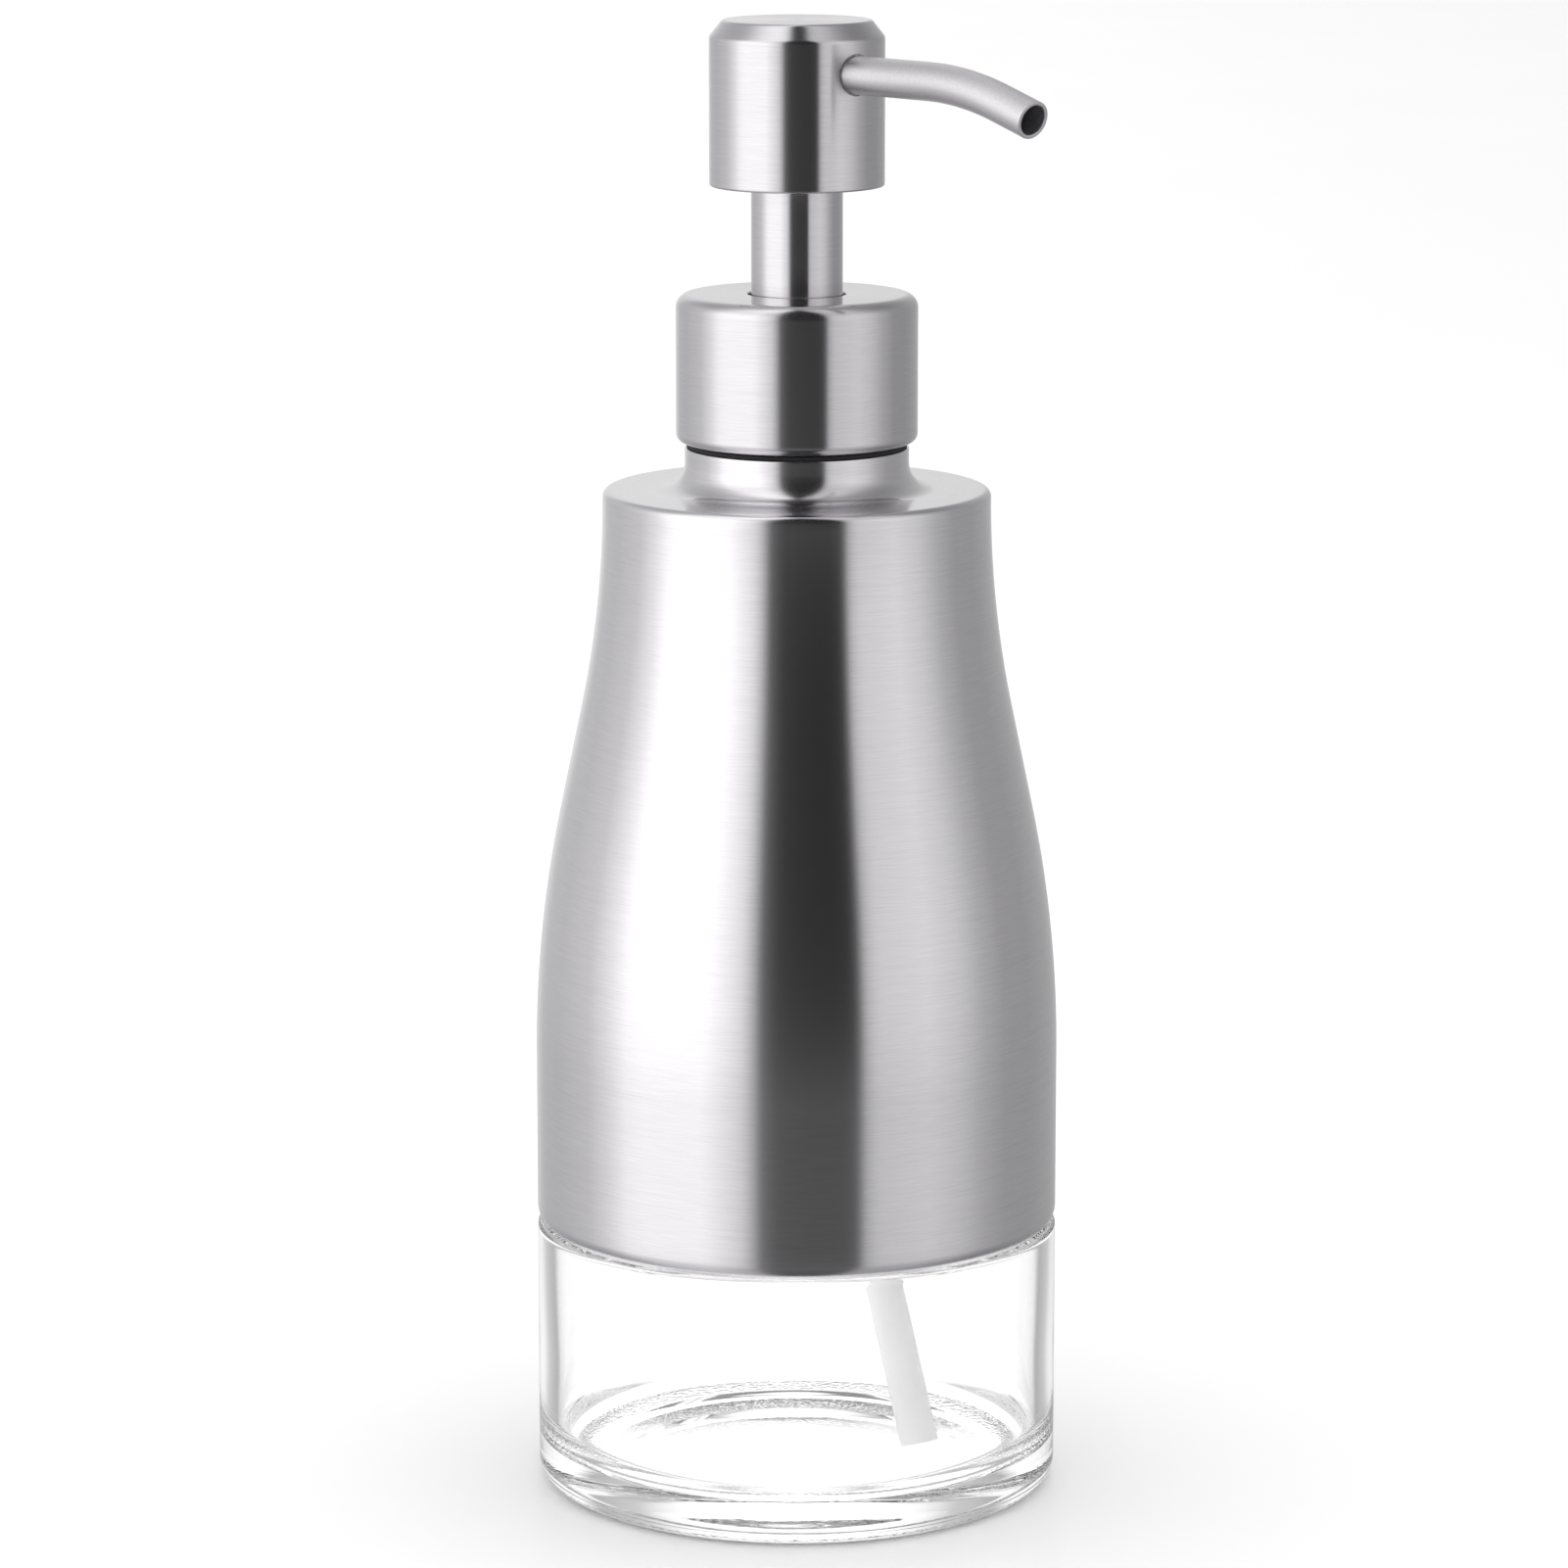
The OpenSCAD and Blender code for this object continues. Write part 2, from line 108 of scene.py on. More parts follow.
def set_stops(ramp, stops):
    """Gives a colour ramp its stops, each a place and a brightness or a colour."""
    ramp.interpolation = "LINEAR"
    while len(ramp.elements) > 1:
        ramp.elements.remove(ramp.elements[-1])
    for i, (place, value) in enumerate(stops):
        stop = ramp.elements[0] if i == 0 else ramp.elements.new(place)
        stop.position = place
        stop.color = value if isinstance(value, tuple) else (value, value, value, 1)


print("half grey, #808080, as light:", round(linear("#808080")[0], 3))

# %% [markdown]
# The room is three lists of light, one for each thing that it has to do. Steel mirrors
# the first: white at the left, paler at the right, and the dark gap in front. Clear
# glass only shows by what is bent in its walls, so through it the room is white with a
# dark card at each side, which draws the dark lines down the edges of the bottle. The
# board and the plastics are lit by a soft dome, strongest halfway up.

# %% The room as lists of light
FRONT = 48.0  # compass direction of the room's front, in degrees; the spout points to +X
# Degrees to the right of the front, and the brightness there as a share of the brightest.
ROOM = [
    (-180, 0.56), (-165, 0.54), (-150, 0.41), (-130, 0.41), (-105, 0.5), (-90, 0.72), (-80, 0.95),
    (-70, 1.0), (-42, 1.0), (-30, 0.77), (-24, 0.64), (-19, 0.36), (-15.5, 0.08), (-8, 0.03),
    (5, 0.022), (18, 0.018), (26, 0.018), (28, 0.1), (30, 0.38), (36, 0.53), (60, 0.6), (75, 0.51),
    (90, 0.35), (105, 0.255), (125, 0.245), (150, 0.29), (165, 0.34), (175, 0.46), (180, 0.56)]
THROUGH = [
    (-180, 1.0), (-168, 1.0), (-160, 0.72), (-154, 0.45), (-142, 0.35), (-134, 0.95),
    (-100, 0.95), (-80, 0.5), (-60, 0.85), (60, 0.85), (80, 0.5), (100, 0.95),
    (134, 0.95), (142, 0.35), (154, 0.45), (160, 0.72), (168, 1.0), (180, 1.0)]
# The same from straight down, 0, to straight up, 1.
MIRROR_LEVEL = [(0.0, 0.55), (0.2, 0.7), (0.36, 1.0), (0.68, 1.0), (0.85, 0.74), (1.0, 0.95)]
DOME_LEVEL = [(0.0, 0.6), (0.6, 0.6), (0.72, 1.0), (0.93, 1.0), (1.0, 0.4)]
MIRROR_LIGHT, DOME_LIGHT, THROUGH_LIGHT, INSIDE_LIGHT = 1.45, 1.44, 1.25, 3.6
BOARD_GREY, BOARD_SHARE = 0.235, 0.42  # the pale board that steel would mirror below the horizon
print("room:", len(ROOM), "stops of light round the compass")

# %% Directions in the room
world = bpy.data.worlds.new("white_studio")
bpy.context.scene.world = world
world.use_nodes = True
sky = world.node_tree
sky.nodes.clear()
way = add(sky, "ShaderNodeTexCoord")
turned = add(sky, "ShaderNodeMapping", {"Vector": way.outputs["Generated"],
             "Rotation": (0, 0, math.radians(90 - FRONT))}, vector_type="POINT")
axes = add(sky, "ShaderNodeSeparateXYZ", {0: turned.outputs[0]})
compass = add(sky, "ShaderNodeMath", {0: axes.outputs["Y"], 1: axes.outputs["X"]}, operation="ARCTAN2")
round_room = add(sky, "ShaderNodeMapRange", {"Value": compass.outputs[0], "From Min": -math.pi,
                 "From Max": math.pi, "To Min": 0.0, "To Max": 1.0})
up_room = add(sky, "ShaderNodeMapRange", {"Value": axes.outputs["Z"], "From Min": -1.0, "From Max": 1.0})
light = {}
for name, where, stops in (
    ("room", round_room, [((degrees + 180) / 360, share) for degrees, share in ROOM]),
    ("through", round_room, [((degrees + 180) / 360, share) for degrees, share in THROUGH]),
    ("mirror level", up_room, MIRROR_LEVEL),
    ("dome level", up_room, DOME_LEVEL),
):
    ramp = add(sky, "ShaderNodeValToRGB", {0: where.outputs[0]})
    set_stops(ramp.color_ramp, stops)
    light[name] = ramp.outputs[0]
print("lists of light:", ", ".join(light))

# %% What steel mirrors
below = add(sky, "ShaderNodeMapRange", {"Value": axes.outputs["Z"], "From Min": -0.15, "From Max": -0.3,
            "To Min": 0.0, "To Max": BOARD_SHARE})
room = add(sky, "ShaderNodeMix", {0: below.outputs[0], 6: light["room"],
           7: (BOARD_GREY, BOARD_GREY, BOARD_GREY, 1)}, data_type="RGBA")
strength = add(sky, "ShaderNodeMath", {0: light["mirror level"], 1: MIRROR_LIGHT}, operation="MULTIPLY")
mirrored = add(sky, "ShaderNodeBackground", {"Color": room.outputs[2], "Strength": strength.outputs[0]})
print("mirrored light: up to", MIRROR_LIGHT)

# %% [markdown]
# Light that comes in through the glass to the dip tube is strong from level and below.
# From above there is none, so the board is left in shadow close to the foot.

# %% What lights the board, and what shows through glass
ray = add(sky, "ShaderNodeLightPath").outputs
around = add(sky, "ShaderNodeBackground", {"Color": light["dome level"], "Strength": DOME_LIGHT})
inside = add(sky, "ShaderNodeMapRange", {"Value": axes.outputs["Z"], "From Min": 0.0, "From Max": 0.12,
             "To Min": INSIDE_LIGHT, "To Max": 0.0})
lights_inside = add(sky, "ShaderNodeMath", {0: ray["Diffuse Depth"], 1: 0.5}, operation="GREATER_THAN")
pale = add(sky, "ShaderNodeMix", {0: lights_inside.outputs[0], 2: THROUGH_LIGHT, 3: inside.outputs[0]})
through = add(sky, "ShaderNodeBackground", {"Color": light["through"], "Strength": pale.outputs[0]})
print("light on the board: up to", DOME_LIGHT)

# %% [markdown]
# The Light Path node tells which list a ray should see. Blender can also send extra
# rays straight to the world, but those would bring one list's light into another's
# place, so that is switched off and each ray finds its own. Light is let through the
# glass until it comes out again, however often it bounces inside.

# %% Choosing by the kind of ray
BOUNCES = 24
by_metal = add(sky, "ShaderNodeMixShader", {0: ray["Is Glossy Ray"], 1: around.outputs[0],
               2: mirrored.outputs[0]})
past_glass = add(sky, "ShaderNodeMath", {0: ray["Transmission Depth"], 1: 0.5}, operation="GREATER_THAN")
choice = add(sky, "ShaderNodeMixShader", {0: past_glass.outputs[0], 1: by_metal.outputs[0],
             2: through.outputs[0]})
add(sky, "ShaderNodeOutputWorld", {0: choice.outputs[0]})
world.cycles.sampling_method = "NONE"
bpy.context.scene.view_settings.view_transform = "Standard"
for limit in ("max_bounces", "glossy_bounces", "transmission_bounces"):
    setattr(bpy.context.scene.cycles, limit, BOUNCES)
print("world:", len(sky.nodes), "nodes")

# %% [markdown]
# ## The camera
#
# A long lens from 0.84 m keeps the upright lines upright. It looks 11 degrees down and
# aims just under half the height, a little to the left of the pump's axis.

# %% Camera
TILT, DISTANCE, LENS = math.radians(11), 0.8381, 143.9
AIM_HEIGHT, AIM_LEFT = 0.484, 0.0017  # share of the height, and metres
front = math.radians(FRONT)
across = Vector((math.cos(front), math.sin(front), 0))
toward = Vector((math.sin(front), -math.cos(front), 0))
aim = Vector((0, 0, AIM_HEIGHT * packed_box[1].z)) - AIM_LEFT * across
eye = bpy.data.cameras.new("camera")
eye.lens, eye.sensor_width, eye.clip_start, eye.clip_end = LENS, 36, 0.05, 40
camera = bpy.data.objects.new("camera", eye)
bpy.context.scene.collection.objects.link(camera)
back = math.cos(TILT) * toward + math.sin(TILT) * Vector((0, 0, 1))
camera.location = aim + DISTANCE * back
camera.rotation_euler = (-back).to_track_quat("-Z", "Y").to_euler()
bpy.context.scene.camera = camera
print("camera at", [round(v, 3) for v in camera.location])

# %% [markdown]
# ## The floor
#
# A plain white board, faintly glossy, so that the foot of the glass has a soft shadow
# and a hint of its own reflection. The steel and the glass don't see the board itself,
# because the lists above already hold what they show below the horizon. It lies a hair
# under the foot, so that the two never share a plane.

# %% Floor
def new_material(name, **settings):
    """A material with one Principled shader, its plain settings set on its own sockets."""
    finish = bpy.data.materials.new(name)
    finish.use_nodes = True
    tree = finish.node_tree
    tree.nodes.clear()
    shader = add(tree, "ShaderNodeBsdfPrincipled", settings)
    add(tree, "ShaderNodeOutputMaterial", {0: shader.outputs[0]})
    return finish, tree, shader


# painted board: white, with a low sheen that is never quite even
HAIR = 0.00003  # metres
board_paint, tree, shader = new_material("matt_white_board", **{
    "Base Color": linear("#F6F6F6"), "Roughness": 0.22, "Specular IOR Level": 0.08})
grain = add(tree, "ShaderNodeTexNoise", {"Vector": add(tree, "ShaderNodeTexCoord").outputs["Object"],
            "Scale": 4.0, "Detail": 2.0})
sheen = add(tree, "ShaderNodeMapRange", {"Value": grain.outputs[0], "To Min": 0.2, "To Max": 0.24})
tree.links.new(sheen.outputs[0], shader.inputs["Roughness"])
sheet = bmesh.new()
bmesh.ops.create_grid(sheet, x_segments=4, y_segments=4, size=6.0)
floor_mesh = bpy.data.meshes.new("floor")
sheet.to_mesh(floor_mesh)
sheet.free()
floor_mesh.materials.append(board_paint)
floor = bpy.data.objects.new("floor", floor_mesh)
bpy.context.scene.collection.objects.link(floor)
floor.location.z = -HAIR
floor.visible_glossy = False
floor.visible_transmission = False
print("board:", [round(v, 2) for v in floor.dimensions], "m")

# %% [markdown]
# ## Finishes
#
# Brushed stainless steel: the pieces were turned while an abrasive pad was held
# against them, which leaves fine lines round the axis. Along a line the surface is
# smooth and across it rough, so reflections smear up and down and stay narrow from
# side to side. That is the Anisotropic socket, turned a quarter so that the rough
# direction runs across the lines. The lines themselves are a noise that is long round
# the axis and fine along the profile. Height minus radius grows steadily from foot to
# rim of every steel piece here, so the same lines run round walls, shoulders and tops.
# Real lines are 0.05 mm apart. These are about twice as coarse, so that they show. Flat
# tops get a last pass with a finer pad, so they mirror what stands on them.

# %% Brushed steel
def brushed_steel(name, spacing, length, shade, rough):
    finish, tree, shader = new_material(name, **{"Metallic": 1.0, "Anisotropic": 0.88,
                                        "Anisotropic Rotation": 0.25})
    where = add(tree, "ShaderNodeTexCoord").outputs["Object"]
    part = add(tree, "ShaderNodeSeparateXYZ", {0: where})
    flat = add(tree, "ShaderNodeVectorMath", {0: where, 1: (1, 1, 0)}, operation="MULTIPLY")
    radius = add(tree, "ShaderNodeVectorMath", {0: flat.outputs[0]}, operation="LENGTH")
    along = add(tree, "ShaderNodeMath", {0: part.outputs["Z"], 1: radius.outputs["Value"]},
                operation="SUBTRACT")
    stretch = add(tree, "ShaderNodeCombineXYZ", {0: part.outputs["X"], 1: part.outputs["Y"],
                  2: along.outputs[0]})
    # millimetres on the piece become steps of noise: long round the axis, fine across it
    lines = add(tree, "ShaderNodeMapping", {"Vector": stretch.outputs[0],
                "Scale": (1000 / length, 1000 / length, 1000 / spacing)})
    fine = add(tree, "ShaderNodeTexNoise", {"Vector": lines.outputs[0], "Scale": 1.0, "Detail": 3.0,
               "Roughness": 0.6})
    broad = add(tree, "ShaderNodeTexNoise", {"Vector": add(tree, "ShaderNodeMapping",
                {"Vector": stretch.outputs[0], "Scale": (40, 40, 1000 / (7 * spacing))}).outputs[0],
                "Scale": 1.0, "Detail": 2.0})
    both = add(tree, "ShaderNodeMix", {0: 0.2, 2: fine.outputs[0], 3: broad.outputs[0]})
    tone = add(tree, "ShaderNodeValToRGB", {0: both.outputs[0]})
    set_stops(tone.color_ramp, [(0.3, linear(shade[0])), (0.7, linear(shade[1]))])
    worn = add(tree, "ShaderNodeMapRange", {"Value": both.outputs[0], "From Min": 0.3, "From Max": 0.7,
               "To Min": rough[1], "To Max": rough[0]})
    upward = add(tree, "ShaderNodeSeparateXYZ", {0: add(tree, "ShaderNodeNewGeometry").outputs["Normal"]})
    finer = add(tree, "ShaderNodeMapRange", {"Value": upward.outputs["Z"], "From Min": 0.7, "From Max": 0.97,
                "To Min": 1.0, "To Max": 0.55})
    gloss = add(tree, "ShaderNodeMath", {0: worn.outputs[0], 1: finer.outputs[0]}, operation="MULTIPLY")
    ridges = add(tree, "ShaderNodeBump", {"Height": fine.outputs[0], "Strength": 0.055,
                 "Distance": 0.00003})
    tree.links.new(tone.outputs[0], shader.inputs["Base Color"])
    tree.links.new(gloss.outputs[0], shader.inputs["Roughness"])
    tree.links.new(ridges.outputs[0], shader.inputs["Normal"])
    return finish


# lines 0.12 mm apart and 4.5 mm long on the jacket, a little finer on the small pieces
jacket_steel = brushed_steel("stainless_brushed_jacket", 0.12, 4.5, ("#E0DEE1", "#EBE9EC"), (0.185, 0.205))
turned_steel = brushed_steel("stainless_brushed_turned", 0.1, 4, ("#D5D3D6", "#DFDDE0"), (0.185, 0.205))
print("brushed steel:", jacket_steel.name, turned_steel.name)

# %% [markdown]
# The spout is drawn tube that was rubbed down by hand, so it is satin in every
# direction: no stripe, only a soft light side and a soft dark one.

# %% Satin steel, spring wire and the ball
def plain_steel(name, shade, rough, grain_mm, dent=0.00002):
    finish, tree, shader = new_material(name, **{"Metallic": 1.0})
    where = add(tree, "ShaderNodeTexCoord").outputs["Object"]
    grain = add(tree, "ShaderNodeTexNoise", {"Vector": where, "Scale": 1000 / grain_mm, "Detail": 3.0})
    tone = add(tree, "ShaderNodeValToRGB", {0: grain.outputs[0]})
    set_stops(tone.color_ramp, [(0.35, linear(shade[0])), (0.65, linear(shade[1]))])
    gloss = add(tree, "ShaderNodeMapRange", {"Value": grain.outputs[0], "From Min": 0.3, "From Max": 0.7,
                "To Min": rough[1], "To Max": rough[0]})
    dents = add(tree, "ShaderNodeBump", {"Height": grain.outputs[0], "Strength": 0.15, "Distance": dent})
    tree.links.new(tone.outputs[0], shader.inputs["Base Color"])
    tree.links.new(gloss.outputs[0], shader.inputs["Roughness"])
    tree.links.new(dents.outputs[0], shader.inputs["Normal"])
    return finish


# the spout is rubbed satin, the spring is bare drawn wire, and the ball is polished
satin_steel = plain_steel("stainless_satin_tube", ("#E3E1E4", "#EBE9EC"), (0.38, 0.42), 0.35)
spring_wire = plain_steel("stainless_drawn_wire", ("#B4B3B5", "#C8C7C9"), (0.2, 0.3), 0.3)
ball_steel = plain_steel("stainless_polished_ball", ("#D8D8DA", "#DEDEE0"), (0.06, 0.1), 1.5, dent=0.000002)
print("other steel:", satin_steel.name, spring_wire.name, ball_steel.name)

# %% [markdown]
# Clear soda-lime glass, blown into a mould. It has almost no colour, so everything it
# shows is bent light: white through the middle, and dark lines where the wall turns
# away. The ring it stands on is stippled, as on any bottle, so that the mould line
# doesn't scratch: small bumps about 0.7 mm apart, only low down and near the rim. The
# thick foot also cools a little uneven, which a broad noise of 12 mm stands for.

# %% Clear glass
STIPPLE_MM, WAVE_MM = 0.7, 12
clear_glass, tree, shader = new_material("soda_lime_glass_clear", **{
    "Base Color": linear("#FFFFFF"), "Roughness": 0.0, "IOR": 1.52, "Transmission Weight": 1.0})
where = add(tree, "ShaderNodeTexCoord").outputs["Object"]
part = add(tree, "ShaderNodeSeparateXYZ", {0: where})
low_down = add(tree, "ShaderNodeMapRange", {"Value": part.outputs["Z"], "From Min": 0.0007,
               "From Max": 0.0016, "To Min": 1.0, "To Max": 0.0}, interpolation_type="SMOOTHSTEP")
flat = add(tree, "ShaderNodeVectorMath", {0: where, 1: (1, 1, 0)}, operation="MULTIPLY")
radius = add(tree, "ShaderNodeVectorMath", {0: flat.outputs[0]}, operation="LENGTH")
far_out = add(tree, "ShaderNodeMapRange", {"Value": radius.outputs["Value"], "From Min": 0.0265,
              "From Max": 0.0275, "To Min": 0.0, "To Max": 1.0}, interpolation_type="SMOOTHSTEP")
ring_only = add(tree, "ShaderNodeMath", {0: low_down.outputs[0], 1: far_out.outputs[0]},
                operation="MULTIPLY")
bumps = add(tree, "ShaderNodeTexVoronoi", {"Vector": where, "Scale": 1000 / STIPPLE_MM},
            feature="SMOOTH_F1")
stipple = add(tree, "ShaderNodeMath", {0: bumps.outputs["Distance"], 1: ring_only.outputs[0]},
              operation="MULTIPLY")
foot = add(tree, "ShaderNodeMapRange", {"Value": part.outputs["Z"], "From Min": 0.008, "From Max": 0.016,
           "To Min": 1.0, "To Max": 0.0}, interpolation_type="SMOOTHSTEP")
waves = add(tree, "ShaderNodeTexNoise", {"Vector": where, "Scale": 1000 / WAVE_MM, "Detail": 1.0})
low_waves = add(tree, "ShaderNodeMath", {0: waves.outputs[0], 1: foot.outputs[0]}, operation="MULTIPLY")
waviness = add(tree, "ShaderNodeBump", {"Height": low_waves.outputs[0], "Strength": 0.3,
               "Distance": 0.0002})
dimples = add(tree, "ShaderNodeBump", {"Height": stipple.outputs[0], "Strength": 0.45, "Distance": 0.0002,
              "Normal": waviness.outputs[0]})
tree.links.new(dimples.outputs[0], shader.inputs["Normal"])
print("glass:", clear_glass.name, len(tree.nodes), "nodes")

# %% [markdown]
# The plastics. The dip tube is natural polythene, extruded: milky, so light soaks in
# and comes out elsewhere. The pump's mouldings are white polypropylene with a faintly
# uneven skin. The seals are black rubber, dull and a little dusty. The beads that hold
# the jacket are clear adhesive that has cured slightly yellow.

# %% Plastics, rubber and adhesive
def moulded(name, shade, rough, grain_mm, **settings):
    finish, tree, shader = new_material(name, **settings)
    where = add(tree, "ShaderNodeTexCoord").outputs["Object"]
    skin = add(tree, "ShaderNodeTexNoise", {"Vector": where, "Scale": 1000 / grain_mm, "Detail": 2.0})
    tone = add(tree, "ShaderNodeValToRGB", {0: skin.outputs[0]})
    set_stops(tone.color_ramp, [(0.3, linear(shade[0])), (0.7, linear(shade[1]))])
    gloss = add(tree, "ShaderNodeMapRange", {"Value": skin.outputs[0], "From Min": 0.3, "From Max": 0.7,
                "To Min": rough[0], "To Max": rough[1]})
    relief = add(tree, "ShaderNodeBump", {"Height": skin.outputs[0], "Strength": 0.2, "Distance": 0.00003})
    tree.links.new(tone.outputs[0], shader.inputs["Base Color"])
    tree.links.new(gloss.outputs[0], shader.inputs["Roughness"])
    tree.links.new(relief.outputs[0], shader.inputs["Normal"])
    return finish


soaks_in = {"Subsurface Scale": 0.001, "Subsurface Radius": (1, 1, 1)}  # one millimetre deep
milky_tube = moulded("polythene_extruded_milky", ("#F8F8F8", "#FDFDFD"), (0.3, 0.36), 3.0,
                     **{"IOR": 1.51, "Subsurface Weight": 0.2, **soaks_in})
white_pump = moulded("polypropylene_moulded_white", ("#EDEDEB", "#F3F3F1"), (0.34, 0.42), 1.2,
                     **{"IOR": 1.49, "Subsurface Weight": 0.15, **soaks_in})
black_rubber = moulded("rubber_moulded_black", ("#161617", "#222223"), (0.6, 0.75), 0.4, **{"IOR": 1.52})
cured_bead = moulded("adhesive_cured_clear", ("#EFE8D6", "#F5F0E2"), (0.12, 0.2), 2.0,
                     **{"IOR": 1.5, "Transmission Weight": 0.7})
print("finishes:", len(bpy.data.materials))

# %% [markdown]
# ## Turning a piece
#
# A lathe piece is one closed section, carried round an axis. The tree below does that
# for any axis line, straight or bent, so the same tree makes the bottle, the spout and
# the dip tube. A point of the section holds its distance from the axis in X and its
# way along the axis in Z. Y is 1 where the piece carries a screw thread: there the
# tree adds a ridge that climbs one pitch a turn. Screwing or spinning the shape with a
# modifier would also work, but wouldn't follow a bent line or know about the thread.

# %% The turning tree and its sizes
TURNING = bpy.data.node_groups.new("turned_piece", "GeometryNodeTree")
TURNING.is_modifier = True
for name, kind, value in (
    ("Section", "NodeSocketGeometry", None), ("Axis line", "NodeSocketObject", None),
    ("Steps round", "NodeSocketInt", 256), ("Finish", "NodeSocketMaterial", None),
    ("Thread foot", "NodeSocketFloat", 0.0), ("Thread pitch", "NodeSocketFloat", 0.004),
    ("Thread turns", "NodeSocketFloat", 1.0), ("Thread height", "NodeSocketFloat", 0.0),
):
    socket = TURNING.interface.new_socket(name, in_out="INPUT", socket_type=kind)
    if value is not None:
        socket.default_value = value
TURNING.interface.new_socket("Piece", in_out="OUTPUT", socket_type="NodeSocketGeometry")
size = add(TURNING, "NodeGroupInput").outputs
print("turning tree:", ", ".join(item.name for item in TURNING.interface.items_tree))

# %% [markdown]
# A grid is the net that is bent into the piece. Each stop of the section has one row of
# points, one for each step round, so a point's number says which stop it belongs to and
# what share of the turn it has made.

# %% The net
points = add(TURNING, "GeometryNodeAttributeDomainSize", {0: size["Section"]}, component="MESH").outputs[0]
row = add(TURNING, "ShaderNodeMath", {0: size["Steps round"], 1: 1}, operation="ADD").outputs[0]
net = add(TURNING, "GeometryNodeMeshGrid", {"Vertices X": points, "Vertices Y": row})
index = add(TURNING, "GeometryNodeInputIndex").outputs[0]
middle = add(TURNING, "ShaderNodeMath", {0: index, 1: 0.5}, operation="ADD").outputs[0]
rows_up = add(TURNING, "ShaderNodeMath", {0: middle, 1: row}, operation="DIVIDE").outputs[0]
stop = add(TURNING, "ShaderNodeMath", {0: rows_up}, operation="FLOOR").outputs[0]
first = add(TURNING, "ShaderNodeMath", {0: stop, 1: row}, operation="MULTIPLY").outputs[0]
step = add(TURNING, "ShaderNodeMath", {0: index, 1: first}, operation="SUBTRACT").outputs[0]
share = add(TURNING, "ShaderNodeMath", {0: step, 1: size["Steps round"]}, operation="DIVIDE").outputs[0]
angle = add(TURNING, "ShaderNodeMath", {0: share, 1: 2 * math.pi}, operation="MULTIPLY").outputs[0]
place = add(TURNING, "GeometryNodeInputPosition").outputs[0]
section = add(TURNING, "GeometryNodeSampleIndex", {"Geometry": size["Section"], "Value": place,
              "Index": stop}, data_type="FLOAT_VECTOR").outputs[0]
on_section = add(TURNING, "ShaderNodeSeparateXYZ", {0: section}).outputs
print("net:", len(TURNING.nodes), "nodes so far")

# %% [markdown]
# The thread is a helix that has climbed one pitch after each turn. A point's height in
# pitches, less its share of a turn, is rounded to the nearest whole turn, and what is
# left over says how far the point is from the middle of the nearest ridge. The ridge
# is a millimetre wide at its top, and fades in and out over an eighth of a turn.

# %% The thread
CREST_IN, CREST_OUT, FADE = 0.0005, 0.0014, 0.12  # metres from the ridge's middle, and turns
above = add(TURNING, "ShaderNodeMath", {0: on_section["Z"], 1: size["Thread foot"]},
            operation="SUBTRACT").outputs[0]
climb = add(TURNING, "ShaderNodeMath", {0: above, 1: size["Thread pitch"]}, operation="DIVIDE").outputs[0]
behind = add(TURNING, "ShaderNodeMath", {0: climb, 1: share}, operation="SUBTRACT").outputs[0]
whole = add(TURNING, "ShaderNodeMath", {0: behind}, operation="ROUND").outputs[0]
wound = add(TURNING, "ShaderNodeMath", {0: whole, 1: share}, operation="ADD").outputs[0]
left = add(TURNING, "ShaderNodeMath", {0: climb, 1: wound}, operation="SUBTRACT").outputs[0]
apart = add(TURNING, "ShaderNodeMath", {0: left}, operation="ABSOLUTE").outputs[0]
off = add(TURNING, "ShaderNodeMath", {0: apart, 1: size["Thread pitch"]}, operation="MULTIPLY").outputs[0]
crest = add(TURNING, "ShaderNodeMapRange", {"Value": off, "From Min": CREST_IN, "From Max": CREST_OUT,
            "To Min": 1.0, "To Max": 0.0}, interpolation_type="SMOOTHSTEP").outputs[0]
to_come = add(TURNING, "ShaderNodeMath", {0: size["Thread turns"], 1: wound}, operation="SUBTRACT").outputs[0]
fade_in = add(TURNING, "ShaderNodeMapRange", {"Value": wound, "From Min": 0.0, "From Max": FADE}).outputs[0]
fade_out = add(TURNING, "ShaderNodeMapRange", {"Value": to_come, "From Min": 0.0, "From Max": FADE}).outputs[0]
tall = add(TURNING, "ShaderNodeMath", {0: crest, 1: size["Thread height"]}, operation="MULTIPLY").outputs[0]
fades = add(TURNING, "ShaderNodeMath", {0: fade_in, 1: fade_out}, operation="MULTIPLY").outputs[0]
threaded = add(TURNING, "ShaderNodeMath", {0: fades, 1: on_section["Y"]}, operation="MULTIPLY").outputs[0]
ridge = add(TURNING, "ShaderNodeMath", {0: tall, 1: threaded}, operation="MULTIPLY").outputs[0]
radius = add(TURNING, "ShaderNodeMath", {0: on_section["X"], 1: ridge}, operation="ADD").outputs[0]
print("thread:", len(TURNING.nodes), "nodes so far")

# %% [markdown]
# Each point then goes to its length along the axis line and out along an arm that is
# turned by its angle. The arm is a mix of the line's normal and the direction square to
# it. The seam, and the points that meet on the axis, are merged.

